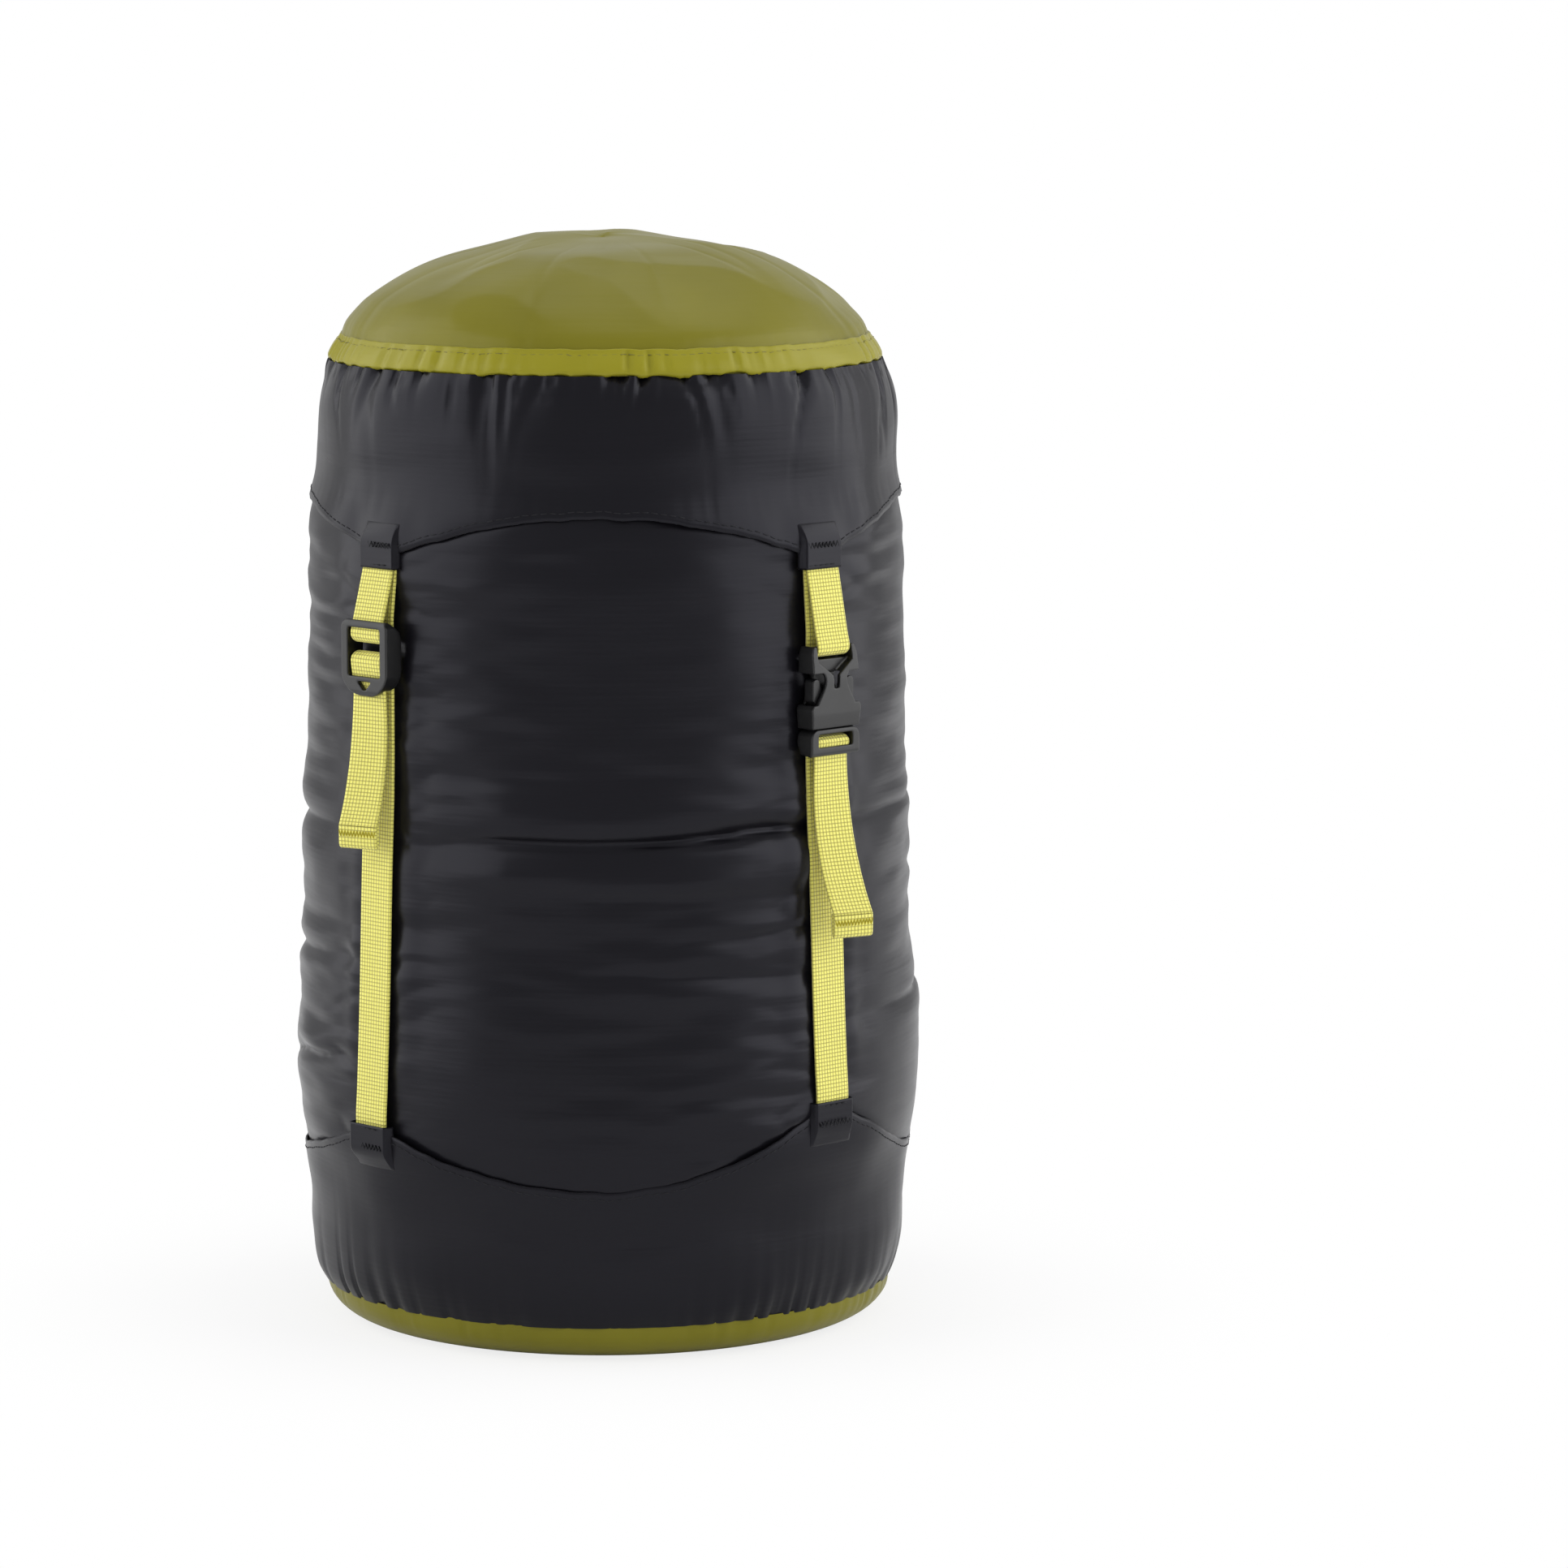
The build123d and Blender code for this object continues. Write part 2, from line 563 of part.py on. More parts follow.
# ---- side-release buckle ----
def make_socket(name, azimuth):
    """Upper half: webbing bar between two horns, open sides, and a closed collar at the mouth."""
    back = socket_middle - socket_depth / 2
    block_bottom = socket_bottom + mouth_height + 10.6
    slot_bottom = socket_bar_height - wrap_radius - web_thickness / 2 - 0.4
    half_horn = horn_width / 2
    with BuildPart() as socket:
        with BuildSketch(face_plane(azimuth, back)):
            with BuildLine():
                Polyline(
                    (-half_outer + 0.4, socket_bottom),
                    (-half_outer - 0.3, socket_bottom + mouth_height - 1.5),
                    (-half_outer + 0.6, socket_bottom + mouth_height),
                    (-half_horn - 0.3, block_bottom),
                    (-half_horn, socket_top - 2.5),
                    (-half_horn + 1.0, socket_top),
                    (half_horn - 1.0, socket_top),
                    (half_horn, socket_top - 2.5),
                    (half_horn + 0.3, block_bottom),
                    (half_outer - 0.6, socket_bottom + mouth_height),
                    (half_outer + 0.3, socket_bottom + mouth_height - 1.5),
                    (half_outer - 0.4, socket_bottom),
                    close=True,
                )
            make_face()
        extrude(amount=socket_depth)
        # rounded from the side: thin at the horns and full at the collar
        with BuildSketch(section_plane(azimuth)):
            with BuildLine():
                front = back + socket_depth
                Spline(
                    (front - 0.5, socket_bottom - 0.1),
                    (front, socket_bottom + mouth_height * 0.6),
                    (front - 0.2, block_bottom),
                    (front - 1.6, socket_top + 0.1),
                )
                Polyline(
                    (front - 1.6, socket_top + 0.1),
                    (back, socket_top + 0.1),
                    (back, socket_bottom - 0.1),
                    (front - 0.5, socket_bottom - 0.1),
                )
            make_face()
        extrude(amount=half_outer + 2.0, both=True, mode=Mode.INTERSECT)
        # cavity for the tongue and the arms, open at the mouth
        half_cavity = half_outer - socket_wall
        with BuildSketch(face_plane(azimuth, back + socket_wall)):
            with Locations((0, (socket_bottom - 1.0 + block_bottom) / 2)):
                Rectangle(2 * half_cavity, block_bottom - socket_bottom + 1.0)
        extrude(amount=socket_depth - 2 * socket_wall, mode=Mode.SUBTRACT)
        # open sides between the collar and the block
        with BuildSketch(face_plane(azimuth, back - 1.0)):
            with Locations((0, (socket_bottom + mouth_height + block_bottom) / 2)):
                Rectangle(2 * half_outer + 6.0, block_bottom - socket_bottom - mouth_height)
            with BuildLine():
                flank = [
                    (half_outer - 2.4, socket_bottom + mouth_height - 0.5),
                    (waist_width / 2 + 1.3, socket_bottom + mouth_height + 4.2),
                    (waist_width / 2, socket_bottom + mouth_height + 7.4),
                    (waist_width / 2 + 1.5, block_bottom + 0.5),
                ]
                right = Spline(*flank)
                left = Spline(*[(-x, height) for x, height in flank])
                Line(left @ 0, right @ 0)
                Line(left @ 1, right @ 1)
            make_face(mode=Mode.SUBTRACT)
        extrude(amount=socket_depth + 2.0, mode=Mode.SUBTRACT)
        # slot for the upper loop
        with BuildSketch(face_plane(azimuth, back - 1.0)):
            with Locations((0, (slot_bottom + socket_top + 2.0) / 2)):
                Rectangle(2 * half_inner, socket_top + 2.0 - slot_bottom)
        extrude(amount=socket_depth + 2.0, mode=Mode.SUBTRACT)
        # notch in the front, from horn to horn down to a narrow slit
        with BuildSketch(face_plane(azimuth, socket_middle + 0.6)):
            with BuildLine():
                Polyline(
                    (-half_inner, slot_bottom + 0.5),
                    (-half_inner, slot_bottom - 0.6),
                    (-1.4, block_bottom - 0.8),
                    (-1.1, socket_bottom + 13.4),
                    (1.1, socket_bottom + 13.4),
                    (1.4, block_bottom - 0.8),
                    (half_inner, slot_bottom - 0.6),
                    (half_inner, slot_bottom + 0.5),
                    close=True,
                )
            make_face()
        extrude(amount=socket_depth, mode=Mode.SUBTRACT)
        with BuildSketch(section_plane(azimuth)):
            with Locations((bar_reach, socket_bar_height)):
                Circle(bar_radius)
        extrude(amount=half_inner + 1.0, both=True)
    save(socket.part, f"socket_{name}")


def make_plug(name, azimuth):
    """Lower half: a frame with the gripping bar and the lip, a guide tongue, and cradles for the arms."""
    arm_back = socket_middle - arm_depth / 2
    lip_top = plug_bottom + 3.0
    window_top = plug_bar_height + wrap_radius + web_thickness / 2 + 0.4
    tongue_top = socket_bottom + mouth_height + 6.5
    with BuildPart() as plug:
        with BuildSketch(section_plane(azimuth)):
            with BuildLine():
                Polyline(
                    (buckle_back, plug_top),
                    (buckle_back, plug_bottom + 4.0),
                    (bar_reach - 0.8, plug_bottom + 0.6),
                    (lip_back, plug_bottom),
                    (buckle_front - 0.7, plug_bottom),
                    (buckle_front, plug_bottom + 0.9),
                    (buckle_front, plug_top - 0.8),
                    (buckle_front - 0.4, plug_top),
                    close=True,
                )
            make_face()
        extrude(amount=half_outer, both=True)
        with BuildSketch(face_plane(azimuth, body_radius)):
            with Locations((0, plug_top - plug_height)):
                RectangleRounded(2 * half_outer, 2 * plug_height, 3.4)
        extrude(amount=20.0, mode=Mode.INTERSECT)
        with BuildSketch(face_plane(azimuth, body_radius - 10.0)):
            with Locations((0, (window_top + plug_bottom - 5.0) / 2)):
                Rectangle(2 * half_inner, window_top - plug_bottom + 5.0)
        extrude(amount=lip_back - body_radius + 10.0, mode=Mode.SUBTRACT)
        with BuildSketch(face_plane(azimuth, body_radius)):
            with Locations((0, (window_top + lip_top) / 2)):
                Rectangle(2 * half_inner, window_top - lip_top)
        extrude(amount=20.0, mode=Mode.SUBTRACT)
        with BuildSketch(section_plane(azimuth)):
            with Locations((bar_reach, plug_bar_height)):
                Circle(bar_radius)
        extrude(amount=half_inner + 1.0, both=True)
        with BuildSketch(face_plane(azimuth, arm_back)):
            with Locations((0, (plug_top - 0.5 + knuckle_height) / 2)):
                Rectangle(2 * (knuckle_reach + 2.9), knuckle_height - plug_top + 0.5)
            with Locations((-knuckle_reach, knuckle_height), (knuckle_reach, knuckle_height)):
                Circle(arm_knuckle + knuckle_clear, mode=Mode.SUBTRACT)
        extrude(amount=arm_depth)
        with BuildSketch(face_plane(azimuth, socket_middle - 1.5)):
            with Locations((0, (knuckle_height - 0.5 + tongue_top) / 2)):
                RectangleRounded(4.4, tongue_top - knuckle_height + 0.5, 0.9)
        extrude(amount=3.0)
    save(plug.part, f"plug_{name}")


def make_arm(name, azimuth, side):
    """Springing arm of the plug; side is -1 for its left arm and +1 for its right arm."""
    outer = half_outer - socket_wall - running_gap
    z = knuckle_height
    with BuildPart() as arm:
        with BuildSketch(face_plane(azimuth, socket_middle - arm_depth / 2)):
            with Locations((side * knuckle_reach, z)):
                Circle(arm_knuckle)
            with BuildLine():
                Polyline(
                    (side * (knuckle_reach - arm_knuckle), z),
                    (side * (knuckle_reach - 1.2), z + 6.0),
                    (side * (knuckle_reach - 0.2), z + 13.0),
                )
                ThreePointArc(
                    (side * (knuckle_reach - 0.2), z + 13.0),
                    (side * (outer - 1.6), z + 14.4),
                    (side * outer, z + 12.6),
                )
                Polyline(
                    (side * outer, z + 12.6),
                    (side * outer, z + 7.0),
                    (side * (outer - 1.2), z + 5.4),
                    (side * (knuckle_reach + arm_knuckle), z),
                    (side * (knuckle_reach - arm_knuckle), z),
                )
            make_face()
        extrude(amount=arm_depth)
    save(arm.part, f"arm_{name}_{'left' if side < 0 else 'right'}")


def make_strap_set(name, azimuth, buckle, base_tab_top, tail_length, stand_out):
    make_anchors(name, azimuth, base_tab_top)
    if buckle == "lock":
        make_upper_loop(name, azimuth, loop_bar_height)
        make_lower_strap(name, azimuth, base_tab_top, grip_bar_height)
        make_strap_tail(name, azimuth, grip_bar_height, lock_bottom, tail_length, stand_out)
        make_ladder_lock(name, azimuth)
    else:
        make_upper_loop(name, azimuth, socket_bar_height)
        make_lower_strap(name, azimuth, base_tab_top, plug_bar_height)
        make_strap_tail(name, azimuth, plug_bar_height, plug_bottom, tail_length, stand_out)
        make_socket(name, azimuth)
        make_plug(name, azimuth)
        make_arm(name, azimuth, -1)
        make_arm(name, azimuth, 1)


os.makedirs("parts", exist_ok=True)
make_base_panel()
make_base_yoke()
make_body_tube()
make_packed_load()
make_neck_closure()
make_lid_yoke()
make_lid_panel()
make_lid_band()
for strap in STRAPS:
    make_strap_set(*strap)
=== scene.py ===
"""Compression sack on a plain pale floor: fabric, webbing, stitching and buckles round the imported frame.

Everything is in metres in the sack's own frame: +Z up, -Y the front, and the origin on the floor under the middle.
Inside the mesh code, heights and radii are in millimetres and azimuth 0 is the front, turning towards +X.
"""

import math

import bpy
import numpy as np
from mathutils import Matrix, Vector, noise


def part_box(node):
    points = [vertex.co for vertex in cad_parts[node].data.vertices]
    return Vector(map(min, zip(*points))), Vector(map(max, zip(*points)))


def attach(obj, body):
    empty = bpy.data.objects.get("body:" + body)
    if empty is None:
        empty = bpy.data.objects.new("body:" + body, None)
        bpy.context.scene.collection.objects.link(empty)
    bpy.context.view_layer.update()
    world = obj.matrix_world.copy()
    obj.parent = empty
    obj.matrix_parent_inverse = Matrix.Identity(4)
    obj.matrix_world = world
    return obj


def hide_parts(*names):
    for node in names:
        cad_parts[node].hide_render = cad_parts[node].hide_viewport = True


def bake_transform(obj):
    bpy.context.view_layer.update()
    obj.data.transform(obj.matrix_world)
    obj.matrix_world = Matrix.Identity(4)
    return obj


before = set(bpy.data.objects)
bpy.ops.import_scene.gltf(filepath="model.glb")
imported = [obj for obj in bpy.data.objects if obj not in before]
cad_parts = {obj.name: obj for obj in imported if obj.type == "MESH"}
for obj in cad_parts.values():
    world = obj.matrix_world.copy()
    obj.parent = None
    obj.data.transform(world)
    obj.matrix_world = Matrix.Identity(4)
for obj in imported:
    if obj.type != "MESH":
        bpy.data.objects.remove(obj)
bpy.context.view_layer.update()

bl_info = {
    "name": "Compression Sack",
    "version": (1, 0, 0),
    "blender": (4, 5, 0),
    "location": "3D View > Sidebar > Sack",
    "description": "Builds the fabric, webbing and buckles of a compression sack",
    "category": "Add Mesh",
}

MM = 0.001
WALL_RADIUS = 105.0  # of the wall at the straps' pockets, in millimetres
WALL_ARC = 1.83  # millimetres round the wall in one degree
STRAPS = {"front_left": -45.0, "front_right": 45.0, "back_right": 135.0, "back_left": 225.0}
LOCKS = ("front_left", "back_left")


# ---------------------------------------------------------------- settings


class FabricSettings(bpy.types.PropertyGroup):
    """Sizes and colours of the sewn fabric."""

    black: bpy.props.StringProperty(name="Black panels", description="Colour of the body and both yokes, as sRGB hex",
                                    default="0c0b0f")
    olive: bpy.props.StringProperty(name="Olive panels", description="Colour of the lid and base panels, as sRGB hex",
                                    default="736e1a")
    # painted highlight: the band is the olive fabric with its colour drawn lighter, for the sheen on its puckers
    band: bpy.props.StringProperty(name="Lid band", description="Colour of the lid's turned edge, as sRGB hex",
                                   default="8c861f")
    fold_depth: bpy.props.FloatProperty(name="Fold depth", description="Depth of the fold round the body",
                                        default=0.0044, unit="LENGTH")
    wrinkle_depth: bpy.props.FloatProperty(name="Wrinkle depth", description="Depth of the fine level wrinkles",
                                           default=0.0014, unit="LENGTH")
    gather_depth: bpy.props.FloatProperty(name="Gather depth", description="Depth of the puckers at the seams",
                                          default=0.0018, unit="LENGTH")
    hem_turn: bpy.props.FloatProperty(name="Hem turn", description="Width of the fabric turned under at a hem",
                                      default=0.009, unit="LENGTH")
    column_step: bpy.props.FloatProperty(name="Column step", description="Width of one mesh column on a panel",
                                         default=0.0016, unit="LENGTH")
    row_step: bpy.props.FloatProperty(name="Row step", description="Height of one mesh row on a panel",
                                      default=0.0013, unit="LENGTH")


class WebbingSettings(bpy.types.PropertyGroup):
    """Sizes and colours of the straps."""

    colour: bpy.props.StringProperty(name="Webbing", description="Colour of the webbing, as sRGB hex",
                                     default="ede770")
    width: bpy.props.FloatProperty(name="Width", description="Width of the webbing", default=0.015, unit="LENGTH")
    thickness: bpy.props.FloatProperty(name="Thickness", description="Thickness of the webbing",
                                       default=0.0012, unit="LENGTH")
    rib_pitch: bpy.props.FloatProperty(name="Rib pitch", description="Distance from one woven rib to the next",
                                       default=0.0013, unit="LENGTH")


class BuckleSettings(bpy.types.PropertyGroup):
    """Looks of the moulded buckles."""

    colour: bpy.props.StringProperty(name="Buckles", description="Colour of the moulded buckles, as sRGB hex",
                                     default="121213")
    edge_radius: bpy.props.FloatProperty(name="Edge radius", description="Rounding of the buckles' edges",
                                         default=0.0004, unit="LENGTH")


class StageSettings(bpy.types.PropertyGroup):
    """Floor, light and camera."""

    camera_distance: bpy.props.FloatProperty(name="Camera distance", description="Camera to the point it looks at",
                                             default=2.175, unit="LENGTH")
    camera_elevation: bpy.props.FloatProperty(name="Camera elevation", description="Camera above the horizon",
                                              default=math.radians(7.9), unit="ROTATION")
    view_width: bpy.props.FloatProperty(name="View width", description="Width seen at the point looked at",
                                        default=0.5495, unit="LENGTH")
    side_light: bpy.props.FloatProperty(name="Side light", description="Power of the large side lamps",
                                        default=30.0, unit="POWER")


# ---------------------------------------------------------------- materials


def linear(colour, share=(1.0, 1.0, 1.0)):
    """An sRGB hex colour as the linear one, with alpha, that a shader takes, each channel times its share."""
    srgb = [int(colour[i : i + 2], 16) / 255 for i in (0, 2, 4)]
    light = [c / 12.92 if c <= 0.04045 else ((c + 0.055) / 1.055) ** 2.4 for c in srgb]
    return (*[c * part for c, part in zip(light, share)], 1.0)


def add(tree, kind, settings=None, links=None):
    """Adds a node; settings are properties or input values, and links join other nodes' outputs to its inputs."""
    made = tree.nodes.new(kind)
    for key, value in (settings or {}).items():
        if isinstance(key, str) and hasattr(made, key):
            setattr(made, key, value)
        else:
            made.inputs[key].default_value = value
    for key, source in (links or {}).items():
        tree.links.new(source, made.inputs[key])
    return made


def new_material(name):
    """A material and its empty node tree."""
    material = bpy.data.materials.new(name)
    material.use_nodes = True
    material.node_tree.nodes.clear()
    return material, material.node_tree


def woven_nylon(name, colour, shade, roughness, gloss):
    """Coated nylon taffeta, woven from flat bright yarn: a satin sheen that spreads wide along the wrinkles."""
    material, tree = new_material(name)
    place = add(tree, "ShaderNodeTexCoord").outputs["Object"]
    # soft creases 5 to 12 mm apart, longer round the sack than up it
    stretched = add(tree, "ShaderNodeMapping", {"Scale": (16.0, 16.0, 130.0)}, {"Vector": place})
    creases = add(tree, "ShaderNodeTexNoise", {"Scale": 1.0, "Detail": 4.0, "Roughness": 0.55, "Distortion": 0.4},
                  {"Vector": stretched.outputs[0]})
    # yarn 0.25 mm apart, drawn 1 mm apart so that it shows
    yarn_up = add(tree, "ShaderNodeTexWave", {"bands_direction": "Z", "Scale": 160.0, "Distortion": 1.2,
                                              "Detail": 2.0, "Detail Scale": 2.0}, {"Vector": place})
    # cloudy change of colour where the coating is handled
    cloud = add(tree, "ShaderNodeTexNoise", {"Scale": 22.0, "Detail": 3.0}, {"Vector": place})
    tone = add(tree, "ShaderNodeValToRGB", {}, {"Fac": cloud.outputs["Fac"]})
    tone.color_ramp.elements[0].position, tone.color_ramp.elements[1].position = 0.3, 0.7
    tone.color_ramp.elements[0].color = linear(colour, [1 - shade] * 3)
    tone.color_ramp.elements[1].color = linear(colour, [1 + shade] * 3)
    rough = add(tree, "ShaderNodeMapRange", {"To Min": roughness - 0.05, "To Max": roughness + 0.07},
                {"Value": creases.outputs["Fac"]})
    fold = add(tree, "ShaderNodeBump", {"Strength": 0.22, "Distance": 0.0008}, {"Height": creases.outputs["Fac"]})
    weave = add(tree, "ShaderNodeBump", {"Strength": 0.05, "Distance": 0.0002},
                {"Height": yarn_up.outputs["Fac"], "Normal": fold.outputs["Normal"]})
    shader = add(tree, "ShaderNodeBsdfPrincipled",
                 {"IOR": 1.46, "Sheen Weight": 0.04, "Sheen Roughness": 0.4, "Sheen Tint": linear("e7e7f3"),
                  "Specular IOR Level": 0.26, "Specular Tint": linear(gloss)},
                 {"Base Color": tone.outputs["Color"], "Roughness": rough.outputs[0],
                  "Normal": weave.outputs["Normal"]})
    add(tree, "ShaderNodeOutputMaterial", {}, {"Surface": shader.outputs[0]})
    return material


def woven_webbing(name, colour, pitch):
    """Flat polyester webbing in a coarse basket weave: bright rounded ribs, with painted shade darkening the gaps
    between them.
    """
    material, tree = new_material(name)
    along = add(tree, "ShaderNodeUVMap", {"uv_map": "webbing"}).outputs["UV"]
    split = add(tree, "ShaderNodeSeparateXYZ", {}, {0: along})
    turns = math.pi / (pitch / MM)

    def wave(source, phase):
        scaled = add(tree, "ShaderNodeMath", {"operation": "MULTIPLY_ADD", 1: turns, 2: phase}, {0: source})
        return add(tree, "ShaderNodeMath", {"operation": "SINE"}, {0: scaled.outputs[0]}).outputs[0]

    product = add(tree, "ShaderNodeMath", {"operation": "MULTIPLY"},
                  {0: wave(split.outputs["X"], 0.0), 1: wave(split.outputs["Y"], 0.0)})
    over = add(tree, "ShaderNodeMath", {"operation": "ABSOLUTE"}, {0: product.outputs[0]})
    rounded = add(tree, "ShaderNodeMath", {"operation": "POWER", 1: 0.55}, {0: over.outputs[0]})
    fibre = add(tree, "ShaderNodeTexNoise", {"Scale": 900.0, "Detail": 2.0},
                {"Vector": add(tree, "ShaderNodeTexCoord").outputs["Object"]})
    height = add(tree, "ShaderNodeMath", {"operation": "MULTIPLY_ADD", 1: 0.25},
                 {0: fibre.outputs["Fac"], 2: rounded.outputs[0]})
    tone = add(tree, "ShaderNodeValToRGB", {}, {"Fac": rounded.outputs[0]})
    # painted shade: the gaps between the ribs are drawn dark and a little redder, for the shade that falls in them
    tone.color_ramp.elements[0].color = linear(colour, (0.36, 0.32, 0.22))
    tone.color_ramp.elements[1].color = linear(colour)
    tone.color_ramp.elements[1].position = 0.75
    ribs = add(tree, "ShaderNodeBump", {"Strength": 0.8, "Distance": 0.0004}, {"Height": height.outputs[0]})
    shader = add(tree, "ShaderNodeBsdfPrincipled",
                 {"Roughness": 0.62, "IOR": 1.55, "Sheen Weight": 0.2, "Sheen Roughness": 0.5},
                 {"Base Color": tone.outputs["Color"], "Normal": ribs.outputs["Normal"]})
    add(tree, "ShaderNodeOutputMaterial", {}, {"Surface": shader.outputs[0]})
    return material


def moulded_acetal(name, colour):
    """Black acetal, injection moulded in a lightly etched mould: smooth, dense, and its gloss changing in soft
    patches.
    """
    material, tree = new_material(name)
    place = add(tree, "ShaderNodeTexCoord").outputs["Object"]
    # etched grain of about 0.15 mm, drawn at 0.4 mm
    grain = add(tree, "ShaderNodeTexNoise", {"Scale": 2500.0, "Detail": 2.0}, {"Vector": place})
    rubbed = add(tree, "ShaderNodeTexNoise", {"Scale": 120.0, "Detail": 3.0}, {"Vector": place})
    rough = add(tree, "ShaderNodeMapRange", {"To Min": 0.26, "To Max": 0.44}, {"Value": rubbed.outputs["Fac"]})
    bump = add(tree, "ShaderNodeBump", {"Strength": 0.12, "Distance": 0.0001}, {"Height": grain.outputs["Fac"]})
    shader = add(tree, "ShaderNodeBsdfPrincipled", {"Base Color": linear(colour), "IOR": 1.48},
                 {"Roughness": rough.outputs[0], "Normal": bump.outputs["Normal"]})
    add(tree, "ShaderNodeOutputMaterial", {}, {"Surface": shader.outputs[0]})
    return material


def spun_thread(name, colour):
    """Bonded polyester sewing thread: fine twisted strands with a dull shine."""
    material, tree = new_material(name)
    place = add(tree, "ShaderNodeTexCoord").outputs["Object"]
    twist = add(tree, "ShaderNodeTexNoise", {"Scale": 2200.0, "Detail": 1.0}, {"Vector": place})
    bump = add(tree, "ShaderNodeBump", {"Strength": 0.4, "Distance": 0.0001}, {"Height": twist.outputs["Fac"]})
    shader = add(tree, "ShaderNodeBsdfPrincipled",
                 {"Base Color": linear(colour), "Roughness": 0.6, "Specular IOR Level": 0.2},
                 {"Normal": bump.outputs["Normal"]})
    add(tree, "ShaderNodeOutputMaterial", {}, {"Surface": shader.outputs[0]})
    return material


def finish_of(key):
    """The scene's materials, each made once."""
    if key not in bpy.data.materials:
        scene = bpy.context.scene
        fabric, web, buckles = scene.sack_fabric, scene.sack_webbing, scene.sack_buckles
        makers = {
            "black_nylon_taffeta": lambda: woven_nylon(key, fabric.black, shade=0.10, roughness=0.29, gloss="f0f0ff"),
            "olive_nylon_taffeta": lambda: woven_nylon(key, fabric.olive, shade=0.08, roughness=0.32, gloss="ffffe7"),
            # painted highlight: the band's fabric is the olive nylon drawn lighter
            "olive_nylon_band_painted_highlight": lambda: woven_nylon(key, fabric.band, shade=0.06, roughness=0.30, gloss="ffffed"),
            "polyester_webbing": lambda: woven_webbing(key, web.colour, web.rib_pitch),
            "moulded_acetal": lambda: moulded_acetal(key, buckles.colour),
            "black_thread": lambda: spun_thread(key, "1d1d21"),
            "olive_thread": lambda: spun_thread(key, "777238"),
            "green_thread": lambda: spun_thread(key, "a89c24"),
        }
        makers[key]()
    return bpy.data.materials[key]


# ---------------------------------------------------------------- shapes from the frame


def outline_of(node):
    """Heights and outside radii of a turned CAD node, in millimetres, one pair for each millimetre of height."""
    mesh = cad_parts[node].data
    co = np.zeros(len(mesh.vertices) * 3)
    mesh.vertices.foreach_get("co", co)
    co = co.reshape(-1, 3) / MM
    radius, height = np.hypot(co[:, 0], co[:, 1]), co[:, 2]
    steps = np.arange(math.floor(height.min()), math.ceil(height.max()) + 1)
    pairs = []
    for low in steps:
        inside = (height >= low - 0.75) & (height < low + 0.75)
        if inside.any():
            pairs.append((low, radius[inside].max()))
    return np.array(pairs)


def eased(outline, reach):
    """The outline with its corners rounded over a length, its two ends kept."""
    low, high = outline[0, 0], outline[-1, 0]
    heights = np.arange(low, high + 0.25, 0.5)
    radii = np.interp(heights, outline[:, 0], outline[:, 1])
    size = max(int(reach / 0.5), 1)
    for _ in range(3):
        padded = np.concatenate([2 * radii[0] - radii[size:0:-1], radii, 2 * radii[-1] - radii[-2 : -size - 2 : -1]])
        radii = np.convolve(padded, np.ones(2 * size + 1) / (2 * size + 1), "valid")
    return np.stack([heights, radii], axis=1)


def dome_profile():
    """Radii and heights up the lid's dome, from its seam to the crown, evenly spaced along the fabric.

    The fabric is drawn tight over the load, so it is fuller than a ball: steep at the seam and flat on top."""
    rim = reach_of("lid_panel", 0.0)[1]
    seam, crown = bottom_of("lid_panel"), top_of("lid_panel")
    radii = rim * (1 - np.linspace(0, 1, 600) ** 2)
    heights = seam + (crown - seam) * (1 - (radii / rim) ** 2.6) ** 0.66
    gone = np.concatenate([[0], np.cumsum(np.hypot(np.diff(radii), np.diff(heights)))])
    share = np.linspace(0, 0.985, 90)
    return share, np.interp(share * gone[-1], gone, radii), np.interp(share * gone[-1], gone, heights)


def top_of(node):
    """Height of a node's top, in millimetres."""
    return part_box(node)[1].z / MM


def bottom_of(node):
    """Height of a node's underside, in millimetres."""
    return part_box(node)[0].z / MM


def reach_of(node, azimuth):
    """Smallest and largest distance of a node's points along the outward direction at an azimuth."""
    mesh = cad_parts[node].data
    a = math.radians(azimuth)
    far = [(v.co.x * math.sin(a) - v.co.y * math.cos(a)) / MM for v in mesh.vertices]
    return min(far), max(far)


TUBE = eased(outline_of("body_tube"), 9)
LID_YOKE = eased(outline_of("lid_yoke"), 4)
BASE_YOKE = eased(outline_of("base_yoke"), 5)
LID_BAND = eased(outline_of("lid_band"), 2)


def radius_on(outline, height):
    """Radius of an outline at a height, both in millimetres."""
    return np.interp(height, outline[:, 0], outline[:, 1])


def smooth(x, low, high):
    """0 below low, 1 above high, and an even S between them."""
    t = np.clip((np.asarray(x, float) - low) / (high - low), 0, 1)
    return t * t * (3 - 2 * t)


def turn_between(azimuth, other):
    """Signed degrees from one azimuth to another, the short way round."""
    return (np.asarray(azimuth) - other + 180.0) % 360.0 - 180.0


def cloudy(azimuth, height, round_scale, up_scale, seed):
    """Smooth noise from -1 to 1 on the sack's wall, without a join."""
    a = np.radians(azimuth)
    shape = np.broadcast(azimuth, height).shape
    x = np.broadcast_to(np.sin(a) * round_scale, shape).ravel()
    y = np.broadcast_to(-np.cos(a) * round_scale, shape).ravel()
    z = np.broadcast_to(np.asarray(height) * up_scale + seed * 17.3, shape).ravel()
    found = [noise.noise((p, q, s)) for p, q, s in zip(x.tolist(), y.tolist(), z.tolist())]
    return np.array(found).reshape(shape) * 1.6


def creased(azimuth, height, round_scale, up_scale, seed, sharpness=0.22):
    """Narrow valleys, 0 to 1 deep, that run where smooth noise changes sign."""
    value = np.abs(cloudy(azimuth, height, round_scale, up_scale, seed))
    return np.clip(1 - value / sharpness, 0, 1) ** 1.5


